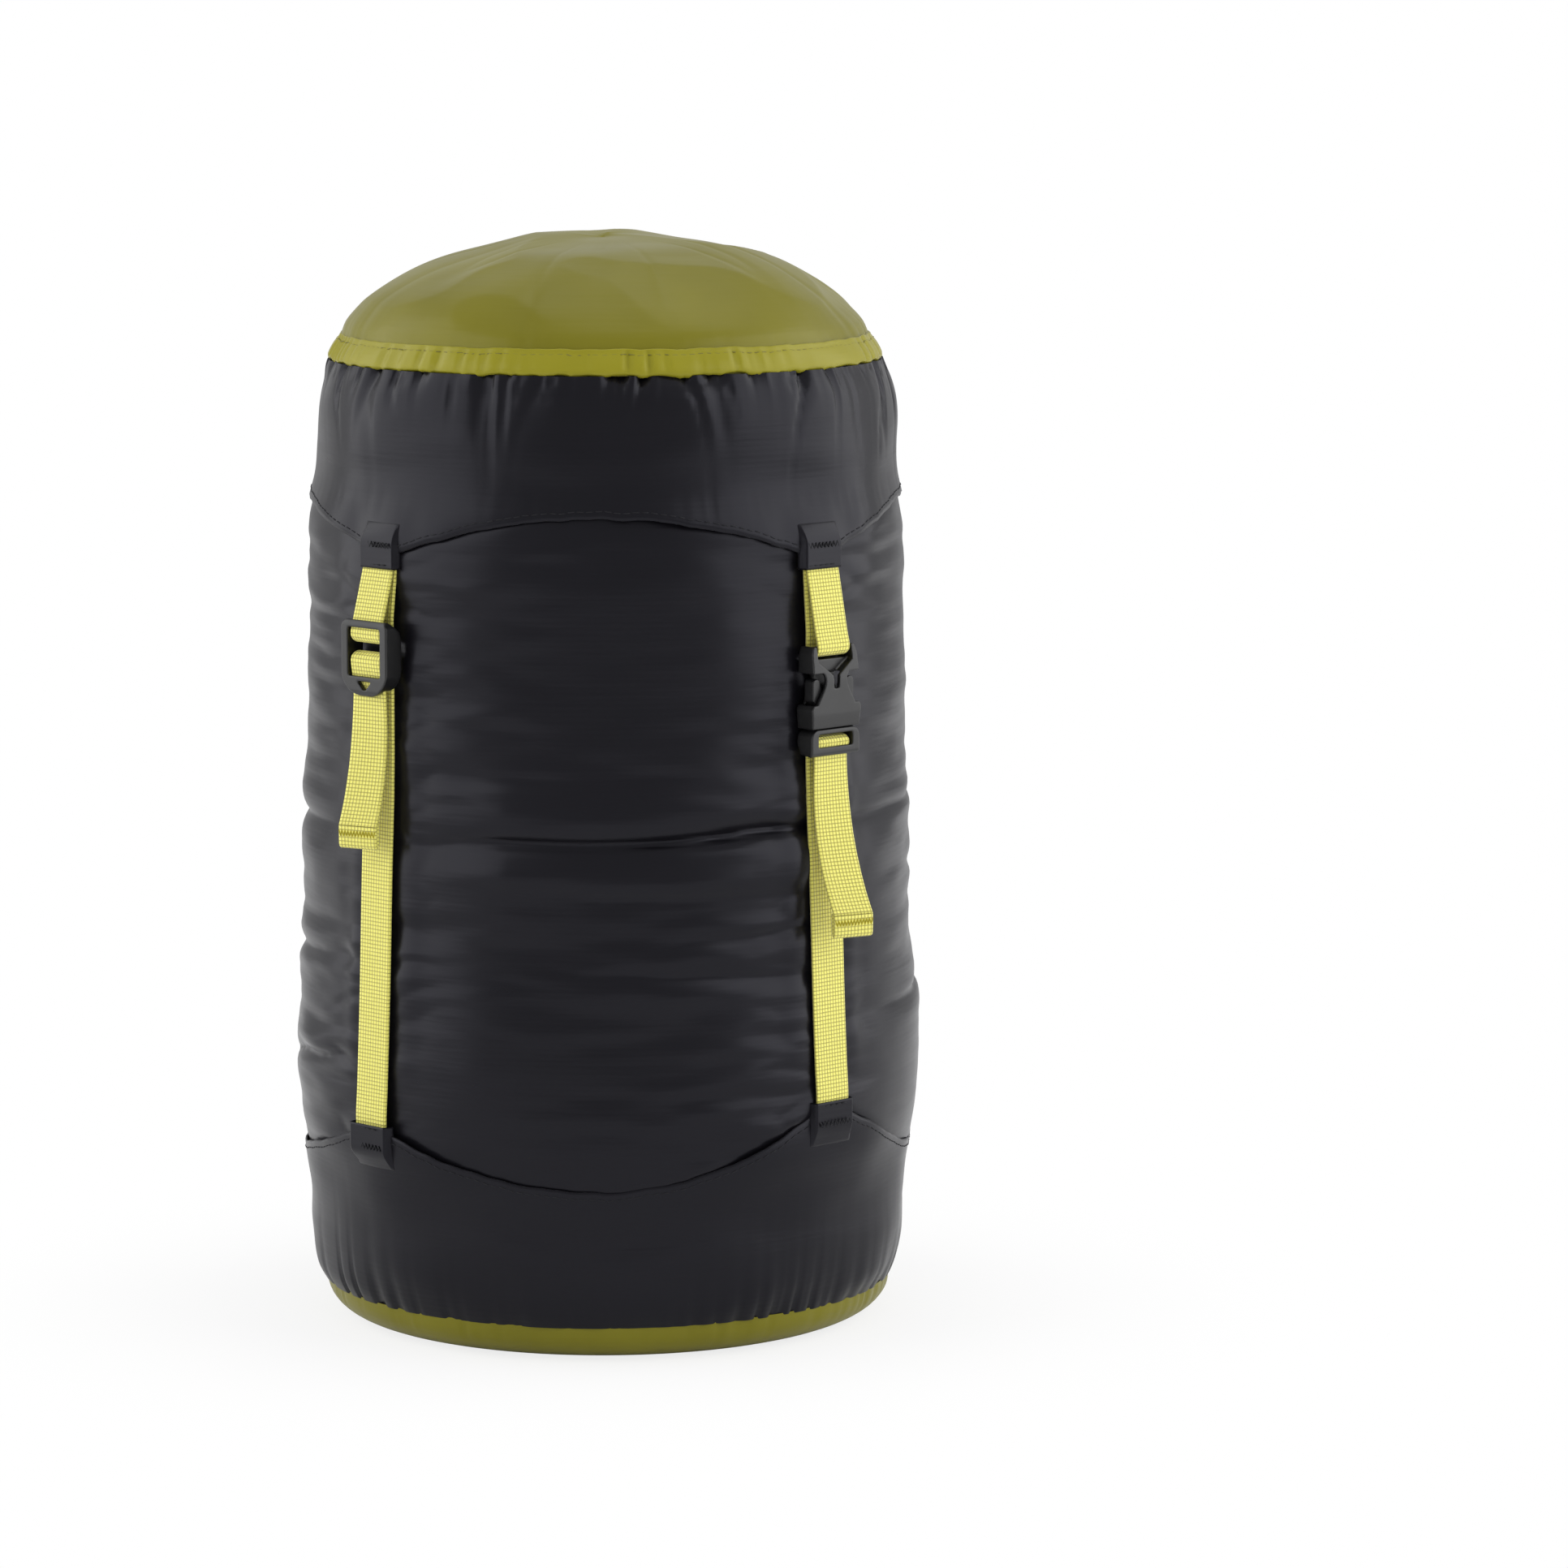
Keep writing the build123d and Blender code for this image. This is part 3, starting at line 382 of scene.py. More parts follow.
def gathers(azimuth, seed, count=115.0):
    """Puckers along a seam, 0 to 1, with uneven spacing and depth."""
    ripple = creased(azimuth, 0.0, count / 6.3, 1.0, seed, 0.35)
    depth = 0.5 + 0.5 * cloudy(azimuth, 0.0, 3.0, 1.0, seed + 3)
    return ripple * np.clip(depth, 0.15, 1)


# ---------------------------------------------------------------- relief of each panel, in millimetres


def crease(height, line, depth, upper, lower):
    """A fold that runs round the wall: a sharp valley along a line, and a soft roll of fabric on each side."""
    off = height - line
    return depth * (-np.exp(-np.abs(off) / 2.4) + 0.45 * np.exp(-(((off - upper) / upper) ** 2))
                    + 0.55 * np.exp(-(((off + lower) / lower) ** 2)))


# azimuth of the middle, half width in degrees, height in mm, slope in mm a degree, and share of the main fold's depth
SHORT_FOLDS = ((17, 18, 133, -0.10, 0.55), (30, 14, 146, 0.16, 0.40), (-72, 22, 96, 0.24, 0.55),
               (-80, 20, 132, 0.12, 0.4), (12, 26, 160, -0.06, 0.3), (95, 30, 118, 0.1, 0.5),
               (160, 34, 128, -0.08, 0.5), (215, 30, 150, 0.1, 0.45))


def tube_relief(azimuth, height):
    """How far the body's wall stands out from its turned outline."""
    settings = bpy.context.scene.sack_fabric
    fold_depth, wrinkle = settings.fold_depth / MM, settings.wrinkle_depth / MM
    broad = 1.3 * cloudy(azimuth, height, 2.0, 1 / 46, 1)
    # the fold where the load is doubled over, and shorter ones under it
    line = 180.5 + 3.0 * np.sin(np.radians(azimuth * 1.1 - 40)) + 1.6 * cloudy(azimuth, 0.0, 3.2, 1.0, 5)
    strength = np.clip(0.62 + 0.75 * cloudy(azimuth, 0.0, 1.7, 1.0, 8), 0.15, 1.0)
    fold = crease(height, line, strength * fold_depth, 9, 10)
    for middle, half_width, level, slope, share in SHORT_FOLDS:
        beside = turn_between(azimuth, middle)
        wander = level + slope * beside + 1.2 * cloudy(azimuth, 0.0, 5.0, 1.0, 60 + middle)
        fold = fold + crease(height, wander, share * fold_depth * np.exp(-((beside / half_width) ** 2)), 5, 6)
    # long soft streaks round the load, and shorter pinches where the straps pull
    streaks = cloudy(azimuth, height, 2.3, 1 / 9, 21) + 0.6 * cloudy(azimuth, height, 4.5, 1 / 5, 22)
    mask = np.clip(0.45 + 0.6 * cloudy(azimuth, height, 1.3, 1 / 55, 11), 0.1, 1)
    fine = 0.62 * wrinkle * mask * streaks
    pinch = 0.0
    for strap in STRAPS.values():
        beside = np.abs(turn_between(azimuth, strap))
        pinch = pinch + np.exp(-(((beside - 8) / 7) ** 2))
    fine = fine - 0.5 * wrinkle * pinch * mask * creased(azimuth, height, 3.6, 1 / 9, 23, 0.45)
    # the fabric swells on both sides of each strap and is drawn in under it
    bite = 0.0
    for strap in STRAPS.values():
        beside = np.abs(turn_between(azimuth, strap)) * WALL_ARC
        bite = bite + 0.8 * np.exp(-((beside - 13) / 5) ** 2) - 0.6 * np.exp(-(beside / 7) ** 2)
    bite = bite * smooth(height, 88, 110) * (1 - smooth(height, 235, 260))
    return broad + fold + fine + bite


def band_waver(azimuth):
    """How the lid's seam wanders up and down as the gathers pull at it."""
    return 0.7 * cloudy(azimuth, 0.0, 14.0, 1.0, 71) - 0.7 * gathers(azimuth, 29, 130)


def hem_ripple(azimuth, seed):
    """How a hem wanders off its drawn curve."""
    return 0.35 * cloudy(azimuth, 0.0, 9.0, 1.0, seed) + 0.2 * cloudy(azimuth, 0.0, 24.0, 1.0, seed + 1)


def lid_yoke_relief(azimuth, height):
    """Deep puckers under the lid's seam that fade into a smooth wall, and drags at the hem."""
    gather = bpy.context.scene.sack_fabric.gather_depth / MM
    seam = top_of("lid_yoke")
    below = np.maximum(seam - height, 0)
    lean = azimuth + 0.22 * below * cloudy(azimuth, 0.0, 9.0, 1.0, 38)
    reach = 4 + 8 * np.clip(0.4 + 0.9 * cloudy(azimuth, 0.0, 6.0, 1.0, 31), 0, 1)
    puckers = -3.4 * gather * gathers(lean, 30, 62) * np.exp(-below / reach)
    puckers = puckers - 1.6 * gather * gathers(lean, 29, 130) * np.exp(-below / 4.0)
    broad = 1.3 * cloudy(azimuth, height, 2.6, 1 / 34, 33)
    wrinkles = 0.30 * cloudy(azimuth, height, 3.4, 1 / 14, 34)
    # short drags in the hem at the top of each arch and beside each tab
    drag = 0.0
    for strap in STRAPS.values():
        beside = turn_between(azimuth, strap)
        drag = drag - 0.7 * np.exp(-((np.abs(beside) - 8) / 3.5) ** 2) * np.exp(-((height - 282) / 8) ** 2)
    hem = -0.25 * gathers(azimuth, 36, 90) * smooth(-np.abs(height - 290), -9, 0)
    puckers = puckers + 0.35 * np.exp(-below / 6)
    return puckers + broad * smooth(below, 0, 8) + wrinkles + drag + hem


def base_yoke_relief(azimuth, height):
    """Short puckers over the floor's seam, under a smooth wall."""
    gather = bpy.context.scene.sack_fabric.gather_depth / MM
    above = np.maximum(height - bottom_of("base_yoke"), 0)
    puckers = -gather * 1.3 * gathers(azimuth, 40, 80) * np.exp(-above / 10)
    broad = 1.4 * cloudy(azimuth, height, 3.4, 1 / 40, 42)
    wrinkles = 0.4 * cloudy(azimuth, height, 3.0, 1 / 12, 44)
    return puckers + broad * smooth(above, 0, 10) * 0.8 + wrinkles


def lid_dome_relief(azimuth, share):
    """Soft dents and rays of the dome; share is 0 at the seam and 1 at the crown."""
    narrowing = np.clip(1 - share, 0.02, 1)
    soft = 1.5 * cloudy(azimuth, share * 60, 1.9 * narrowing + 0.3, 1 / 22, 51)
    drawn = -1.1 * gathers(azimuth, 52, 80) * np.exp(-share / 0.10)
    rays = -0.4 * creased(azimuth, share * 20, 3.2, 1 / 30, 55, 0.30) * smooth(share, 0.02, 0.15) * (
        1 - smooth(share, 0.45, 0.85)
    )
    # shallow dents that meet in soft ridges, where the load under the dome is uneven
    ridges = creased(azimuth, share * 34, 2.4 * narrowing + 0.2, 1 / 15, 57, 0.9)
    soft = soft - 1.2 * (1 - ridges) * smooth(share, 0.1, 0.3)
    return soft * smooth(share, 0, 0.2) + drawn + rays - 1.3 * (1 - smooth(share, 0.06, 0.14))


# ---------------------------------------------------------------- mesh builders


def columns():
    """Azimuths of the mesh columns, evenly spaced round the sack."""
    step = bpy.context.scene.sack_fabric.column_step / MM / 104.0
    return np.linspace(-180.0, 180.0, int(2 * math.pi / step), endpoint=False)


def wall_points(azimuth, radius, height):
    """Points in metres from azimuth in degrees, and radius and height in millimetres."""
    a = np.radians(azimuth)
    return np.stack([np.sin(a) * radius, -np.cos(a) * radius, height + 0 * radius], axis=-1) * MM


def tail_turn(azimuth):
    """Degrees that a strap's tail is turned about the upright; neighbouring straps turn opposite ways."""
    return -TAIL_TURN if azimuth in (45.0, 225.0) else TAIL_TURN


def mesh_object(name, vertices, faces, material):
    """A smooth object in the scene, made of vertices and faces, with its material."""
    mesh = bpy.data.meshes.new(name)
    mesh.from_pydata(vertices, [], faces)
    mesh.polygons.foreach_set("use_smooth", [True] * len(mesh.polygons))
    mesh.materials.append(finish_of(material))
    made = bpy.data.objects.new(name, mesh)
    bpy.context.scene.collection.objects.link(made)
    return made


def grid_object(name, points, wrap, material, close_top=False, close_bottom=False):
    """A mesh from rows by columns of points; wrap joins the last column to the first."""
    rows, cols = points.shape[:2]
    vertices = points.reshape(-1, 3).tolist()
    index = np.arange(rows * cols).reshape(rows, cols)
    right = np.roll(index, -1, axis=1) if wrap else index[:, 1:]
    left = index if wrap else index[:, :-1]
    faces = np.stack([left[:-1], right[:-1], right[1:], left[1:]], axis=-1).reshape(-1, 4).tolist()
    if close_top:
        top = len(vertices)
        vertices.append(points[-1].mean(axis=0).tolist())
        faces += [(int(left[-1][i]), int(right[-1][i]), top) for i in range(cols)]
    if close_bottom:
        low = len(vertices)
        vertices.append(points[0].mean(axis=0).tolist())
        faces += [(int(right[0][i]), int(left[0][i]), low) for i in range(cols)]
    return mesh_object(name, vertices, faces, material)


def arch(azimuth, middle, sides):
    """Height of a scalloped edge: middle halfway between straps, and sides[strap] at each strap."""
    azimuth = np.asarray(azimuth, float)
    height = np.zeros_like(azimuth)
    order = [("front_left", "front_right", 0.0), ("front_right", "back_right", 90.0),
             ("back_right", "back_left", 180.0), ("back_left", "front_left", 270.0)]
    for left, right, centre in order:
        t = turn_between(azimuth, centre)
        inside = np.abs(t) <= 45.0
        share = np.clip(np.sin(np.radians(np.clip(np.abs(t), 0, 45))) / math.sin(math.radians(45)), 0, 1)
        end = np.where(t < 0, sides[left], sides[right])
        bend = 1 - np.sqrt(np.clip(1 - (0.62 * share) ** 2, 0, 1))
        full = 1 - math.sqrt(1 - 0.62**2)
        height = np.where(inside, middle + (end - middle) * bend / full, height)
    return height


def dress(node, material):
    """Gives a CAD node one material in place of its own."""
    node.data.materials.clear()
    node.data.materials.append(finish_of(material))


def rides(made, body, replaces):
    """Makes a piece move with a body and stand for CAD nodes, which it hides."""
    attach(made, body)
    if replaces:
        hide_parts(*replaces)
    return made


def strip(name, path, azimuth, width, thickness, yaw=None, pivot=None, wave=0.0):
    """Webbing along a path of (radius, height) points in the upright plane at an azimuth, with rounded edges.

    yaw turns it about the upright, in degrees from its start to its end, round a pivot radius or its own middle."""
    path = np.array(path, float)
    length = np.concatenate([[0], np.cumsum(np.linalg.norm(np.diff(path, axis=0), axis=1))])
    steps = np.arange(0, length[-1], 0.9)
    steps = np.append(steps, length[-1])
    line = np.stack([np.interp(steps, length, path[:, 0]), np.interp(steps, length, path[:, 1])], axis=1)
    for _ in range(4):
        line[1:-1] = (line[:-2] + 2 * line[1:-1] + line[2:]) / 4
    tangent = np.gradient(line, axis=0)
    tangent /= np.linalg.norm(tangent, axis=1)[:, None]
    normal = np.stack([-tangent[:, 1], tangent[:, 0]], axis=1)
    half, thick = width / 2, thickness / 2
    across = np.linspace(-half + thick * 0.8, half - thick * 0.8, 13)
    turn = np.linspace(-90, 90, 5)
    edge = [(half - thick * 0.8 + thick * 0.8 * math.cos(math.radians(t)), thick * math.sin(math.radians(t)))
            for t in turn]
    ring = [(x, thick) for x in across] + [(x, y) for x, y in edge[::-1][1:-1]]
    ring += [(x, -thick) for x in across[::-1]] + [(-x, y) for x, y in edge[1:-1]]
    ring = np.array(ring)
    share = (steps - steps[0]) / max(steps[-1] - steps[0], 1e-6)
    yaw_at = np.interp(share, np.linspace(0, 1, len(yaw)), yaw) if yaw else 0 * share
    a = math.radians(azimuth)
    out, up = np.array([math.sin(a), -math.cos(a), 0]), np.array([0, 0, 1.0])
    points = np.zeros((len(steps), len(ring), 3))
    uv = np.zeros((len(steps), len(ring), 2))
    for i, (r, z) in enumerate(line):
        b = a + math.radians(yaw_at[i])
        facing, along = np.array([math.sin(b), -math.cos(b), 0]), np.array([math.cos(b), math.sin(b), 0])
        middle = r if pivot is None else pivot
        n3 = normal[i, 0] * facing + normal[i, 1] * up
        sway = wave * math.sin(share[i] * 7.0) * math.sin(share[i] * math.pi)
        centre = out * middle + facing * (r - middle) + up * z + n3 * sway
        points[i] = centre + np.outer(ring[:, 0], along) + np.outer(ring[:, 1], n3)
        uv[i, :, 0], uv[i, :, 1] = ring[:, 0] + half, steps[i]
    count = len(ring)
    index = np.arange(len(steps) * count).reshape(len(steps), count)
    right = np.roll(index, -1, axis=1)
    faces = np.stack([index[:-1], right[:-1], right[1:], index[1:]], axis=-1).reshape(-1, 4).tolist()
    faces += [index[0, ::-1].tolist(), index[-1].tolist()]
    made = mesh_object(name, (points.reshape(-1, 3) * MM).tolist(), faces, "polyester_webbing")
    layer = made.data.uv_layers.new(name="webbing")
    loops = np.zeros(len(made.data.loops), int)
    made.data.loops.foreach_get("vertex_index", loops)
    layer.data.foreach_set("uv", uv.reshape(-1, 2)[loops].ravel())
    return made


def stitches(name, centres, directions, normals, length, width, material):
    """Short rounded stitches that stand a little proud, joined in one mesh."""
    vertices, faces = [], []
    rings = [(-0.5, 0.45), (-0.32, 1.0), (0.32, 1.0), (0.5, 0.45)]
    for centre, way, normal in zip(centres, directions, normals):
        way = way / np.linalg.norm(way)
        normal = normal - way * normal.dot(way)
        normal /= np.linalg.norm(normal)
        side = np.cross(way, normal)
        start = len(vertices)
        for along, fat in rings:
            for k in range(6):
                angle = k * math.pi / 3
                offset = side * math.cos(angle) + normal * (math.sin(angle) + 0.25)
                vertices.append((centre + way * along * length + offset * width / 2 * fat).tolist())
        for r in range(3):
            for k in range(6):
                a, b = start + r * 6 + k, start + r * 6 + (k + 1) % 6
                faces.append((a, b, b + 6, a + 6))
        faces.append(tuple(start + k for k in range(5, -1, -1)))
        faces.append(tuple(start + 18 + k for k in range(6)))
    return mesh_object(name, vertices, faces, material)


def stitch_line(name, surface, heights, material, pitch=3.1, length=2.3, width=0.42):
    """Topstitching round the sack: surface gives the outside radius and heights the height at each azimuth."""
    fine = np.linspace(-180, 180, 2881)
    points = wall_points(fine, surface(fine, heights(fine)), heights(fine))
    gone = np.concatenate([[0], np.cumsum(np.linalg.norm(np.diff(points, axis=0), axis=1))])
    marks = np.arange(0, gone[-1] - pitch * MM * 0.5, pitch * MM)
    centres = np.stack([np.interp(marks, gone, points[:, k]) for k in range(3)], axis=1)
    ahead = np.stack([np.interp(marks + 0.5 * MM, gone, points[:, k]) for k in range(3)], axis=1)
    a = np.radians(np.interp(marks, gone, fine))
    normals = np.stack([np.sin(a), -np.cos(a), 0 * a], axis=1)
    return stitches(name, centres, ahead - centres, normals, length * MM, width * MM, material)


def settle(start, cut, pins, pressure, bending, cap, frames=18):
    """Lets fabric cut to one grid of points take up its slack from another, and returns the points it comes to.

    It is Blender's own cloth, with its first and last pins rows held and no point moved further than the cap."""
    scene = bpy.context.scene
    made = grid_object("cloth trial", start, True, "black_nylon_taffeta")
    made.shape_key_add(name="Basis")
    key = made.shape_key_add(name="cut")
    key.data.foreach_set("co", cut.ravel())
    rows, cols = start.shape[:2]
    held = made.vertex_groups.new(name="held")
    held.add(list(range(pins[0] * cols)) + list(range((rows - pins[1]) * cols, rows * cols)), 1.0, "REPLACE")
    cloth = made.modifiers.new("cloth", "CLOTH")
    rules = cloth.settings
    rules.quality, rules.mass, rules.air_damping = 7, 0.012, 3.0
    rules.tension_stiffness = rules.compression_stiffness = 18.0
    rules.shear_stiffness, rules.bending_stiffness = 6.0, bending
    rules.tension_damping = rules.compression_damping = 8.0
    rules.vertex_group_mass, rules.rest_shape_key = "held", key
    rules.use_pressure, rules.uniform_pressure_force = True, pressure
    rules.effector_weights.gravity = 0.0
    cloth.collision_settings.use_collision = False
    cloth.point_cache.frame_start, cloth.point_cache.frame_end = 1, frames
    for step in range(1, frames + 1):
        scene.frame_set(step)
    settled = made.evaluated_get(bpy.context.evaluated_depsgraph_get())
    found = np.zeros(rows * cols * 3)
    settled.data.vertices.foreach_get("co", found)
    scene.frame_set(1)
    mesh = made.data
    bpy.data.objects.remove(made)
    bpy.data.meshes.remove(mesh)
    move = found.reshape(start.shape) - start
    size = np.linalg.norm(move, axis=-1, keepdims=True)
    return start + move * np.minimum(1, cap * MM / np.maximum(size, 1e-9))


def spread(values, azimuth, rows):
    """A field on an even round grid, resampled smoothly to other azimuths and a new number of rows."""
    for _ in range(2):
        values = (np.roll(values, 1, 1) + 2 * values + np.roll(values, -1, 1)) / 4
        values[1:-1] = (values[:-2] + 2 * values[1:-1] + values[2:]) / 4
    old = np.linspace(-180, 180, values.shape[1] + 1)
    wide = np.array([np.interp(azimuth, old, np.append(row, row[0])) for row in values])
    up, at = np.linspace(0, 1, values.shape[0]), np.linspace(0, 1, rows)
    return np.array([np.interp(at, up, column) for column in wide.T]).T


# ---------------------------------------------------------------- surfaces that several pieces share

TUBE_SLACK = 1.06  # the tube's sewn length over the length it stands at
POCKET = {"lid": 2.0, "base": 2.6}  # how proud a pocket's mouth stands, in millimetres
SEAM_TOP = top_of("lid_yoke")
SEAM_BASE = bottom_of("base_yoke") + 2.0
LID_TAB = bottom_of("lid_tab_front_left")
HEM_TOP = 287.4  # height of the lid's hem at the top of its arches
HEM_BASE = 60.4  # height of the base's hem at the foot of its arches
COAT = 0.25  # gap that keeps a pocket's fabric off the wall it is sewn to
POCKET_FOOT = 6.5  # how far a pocket runs on past its CAD tab
BAR_TURN = 2.0  # radius of the webbing's middle round a buckle's bar
PROUD = 1.8  # the webbing stands this far off the front of its bars
TAIL_TURN = 16  # degrees that a tail's end is turned from its strap
PLY = 0.62  # half the distance between two plies of webbing
BASE_TABS = {name: top_of(f"base_tab_{name}") for name in STRAPS}


def lid_hem(azimuth):
    return arch(azimuth, HEM_TOP, {name: LID_TAB + 2.6 for name in STRAPS}) + hem_ripple(azimuth, 61)


def base_hem(azimuth):
    return arch(azimuth, HEM_BASE, BASE_TABS) + hem_ripple(azimuth, 63)


def lid_yoke_radius(azimuth, height):
    drawn_in = 0.5 * np.exp(-np.maximum(height - lid_hem(azimuth), 0) / 3.5)
    return radius_on(LID_YOKE, height) + lid_yoke_relief(azimuth, height) - drawn_in


def base_yoke_radius(azimuth, height):
    drawn_in = 0.5 * np.exp(-np.maximum(base_hem(azimuth) - height, 0) / 3.5)
    return radius_on(BASE_YOKE, height) + base_yoke_relief(azimuth, height) - drawn_in


YOKE_SURFACES = {"lid": lid_yoke_radius, "base": base_yoke_radius}


# ---------------------------------------------------------------- operators


class SACK_OT_body(bpy.types.Operator):
    """Builds the black wall of the sack, with its fold and wrinkles."""

    bl_idname = "sack.body"
    bl_label = "Body wall"

    def execute(self, context):
        row = context.scene.sack_fabric.row_step / MM
        azimuth = columns()[None, :]
        low, high = bottom_of("body_tube"), top_of("body_tube")
        height = np.linspace(low, high, int((high - low) / row))[:, None]
        radius = radius_on(TUBE, height) + tube_relief(azimuth, height)
        # the tube was sewn longer than the strapped load leaves room for, so it settles into creases
        around = np.linspace(-180, 180, 220, endpoint=False)[None, :]
        up = np.linspace(low, high, 84)[:, None] + 0 * around
        placed = radius_on(TUBE, up) + tube_relief(around, up)
        middle = (low + high) / 2
        start = wall_points(around, placed, up)
        cut = wall_points(around, radius_on(TUBE, up) * 1.004, middle + (up - middle) * TUBE_SLACK)
        found = settle(start, cut, (2, 2), 3.0, 0.6, 5.0)
        shift = np.hypot(found[..., 0], found[..., 1]) / MM - placed
        radius = radius + 1.5 * spread(shift, azimuth[0], len(height))
        # the yokes press it flat where they cover it
        hidden = np.maximum(smooth(height, lid_hem(azimuth) - 2, lid_hem(azimuth) + 3),
                            1 - smooth(height, base_hem(azimuth) - 3, base_hem(azimuth) + 2))
        radius = radius - hidden * np.maximum(radius - radius_on(TUBE, height) + 0.8, 0)
        wall = grid_object("body_wall", wall_points(azimuth, radius, height), True, "black_nylon_taffeta")
        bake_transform(wall)
        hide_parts("body_tube")
        # the soft goods inside, turned from the load's outline
        load = eased(outline_of("packed_load"), 6)
        rise = np.linspace(load[0, 0], load[-1, 0], 90)[:, None]
        turned = np.arange(0, 360, 3.0)[None, :]
        goods = grid_object("packed_goods", wall_points(turned, radius_on(load, rise) + 0 * turned, rise + 0 * turned),
                            True, "black_nylon_taffeta", close_top=True, close_bottom=True)
        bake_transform(goods)
        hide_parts("packed_load")
        return {"FINISHED"}


class SACK_OT_yokes(bpy.types.Operator):
    """Builds the black walls of the lid and the foot, with their gathers and scalloped hems."""

    bl_idname = "sack.yokes"
    bl_label = "Lid and base yokes"

    def execute(self, context):
        turn = context.scene.sack_fabric.hem_turn / MM
        azimuth = columns()[None, :]
        hem = lid_hem(azimuth)
        rows = np.linspace(0, 1, 54)[:, None] ** 0.9
        height = hem + (SEAM_TOP - hem) * rows
        radius = lid_yoke_radius(azimuth, height)
        # the hem is turned under and lies just inside the wall
        fold = ((turn, 0.9), (turn * 0.5, 0.9), (0.6, 0.85), (-0.15, 0.5))
        under = [wall_points(azimuth, lid_yoke_radius(azimuth, hem + up) - inwards, hem + up) for up, inwards in fold]
        made = grid_object("lid_wall", np.concatenate([*under, wall_points(azimuth, radius, height)]), True,
                           "black_nylon_taffeta")
        rides(made, "lid", ["lid_yoke"])
        hem = base_hem(azimuth)
        rows = np.linspace(0, 1, 60)[:, None]
        height = SEAM_BASE + (hem - SEAM_BASE) * rows
        radius = base_yoke_radius(azimuth, height)
        over = [wall_points(azimuth, base_yoke_radius(azimuth, hem - down) - inwards, hem - down)
                for down, inwards in reversed(fold)]
        made = grid_object("base_wall", np.concatenate([wall_points(azimuth, radius, height), *over]), True,
                           "black_nylon_taffeta")
        rides(made, "base", ["base_yoke"])
        return {"FINISHED"}


class SACK_OT_panels(bpy.types.Operator):
    """Builds the olive domed lid with its gathered band, and the olive floor."""

    bl_idname = "sack.panels"
    bl_label = "Lid and base panels"

    def execute(self, context):
        azimuth = columns()[None, :]
        share, r, z = (values[:, None] for values in dome_profile())
        lift = lid_dome_relief(azimuth, share)
        slope = share * 1.25
        points = wall_points(azimuth, r + lift * np.cos(slope), z + lift * np.sin(slope))
        made = grid_object("lid_dome", points, True, "olive_nylon_taffeta", close_top=True)
        rides(made, "lid", ["lid_panel"])
        # band: the dome's edge turned back over the seam and sewn down
        rows = np.array([-0.4, 0.0, 0.8, 2.0, 3.2, 4.4, 5.6, 6.8, 7.8, 8.4, 8.6, 8.3])[:, None]
        height = SEAM_TOP + 0.2 + rows + band_waver(azimuth) * (1 - 0.6 * np.clip(rows / 8.5, 0, 1))
        base = radius_on(LID_BAND, np.clip(height, bottom_of("lid_band") + 1, top_of("lid_band") - 1))
        tucked = np.array([-1.6, -0.5, 0, 0, 0, -0.05, -0.1, -0.2, -0.35, -0.55, -0.9, -1.7])[:, None]
        pucker = -0.5 - 2.6 * gathers(azimuth, 72, 95) * (0.30 + 0.70 * np.sin(np.clip(rows / 8.5, 0, 1) * math.pi))
        # the band's material is the olive nylon drawn lighter, a painted highlight
        made = grid_object("lid_band_fabric", wall_points(azimuth, base + tucked + pucker, height), True,
                           "olive_nylon_band_painted_highlight")
        rides(made, "lid", ["lid_band"])
        # floor panel, flat in the middle and turned up to the seam
        flat, seam = 84.0, float(radius_on(BASE_YOKE, SEAM_BASE)) - 0.3
        t = np.linspace(0, math.pi / 2, 16)
        foot_r = np.concatenate([[2.0, 20, 40, 60, 75], flat + (seam - flat) * np.sin(t)])
        foot_z = np.concatenate([[0.3] * 5, (SEAM_BASE + 0.6) * (1 - np.cos(t) ** 0.9)])[:, None]
        pucker = -0.8 * gathers(azimuth, 75, 95) * smooth(foot_z, 2, top_of("base_panel"))
        made = grid_object("base_floor", wall_points(azimuth, foot_r[:, None] + pucker, foot_z), True,
                           "olive_nylon_taffeta", close_bottom=True)
        rides(made, "base", ["base_panel"])
        return {"FINISHED"}


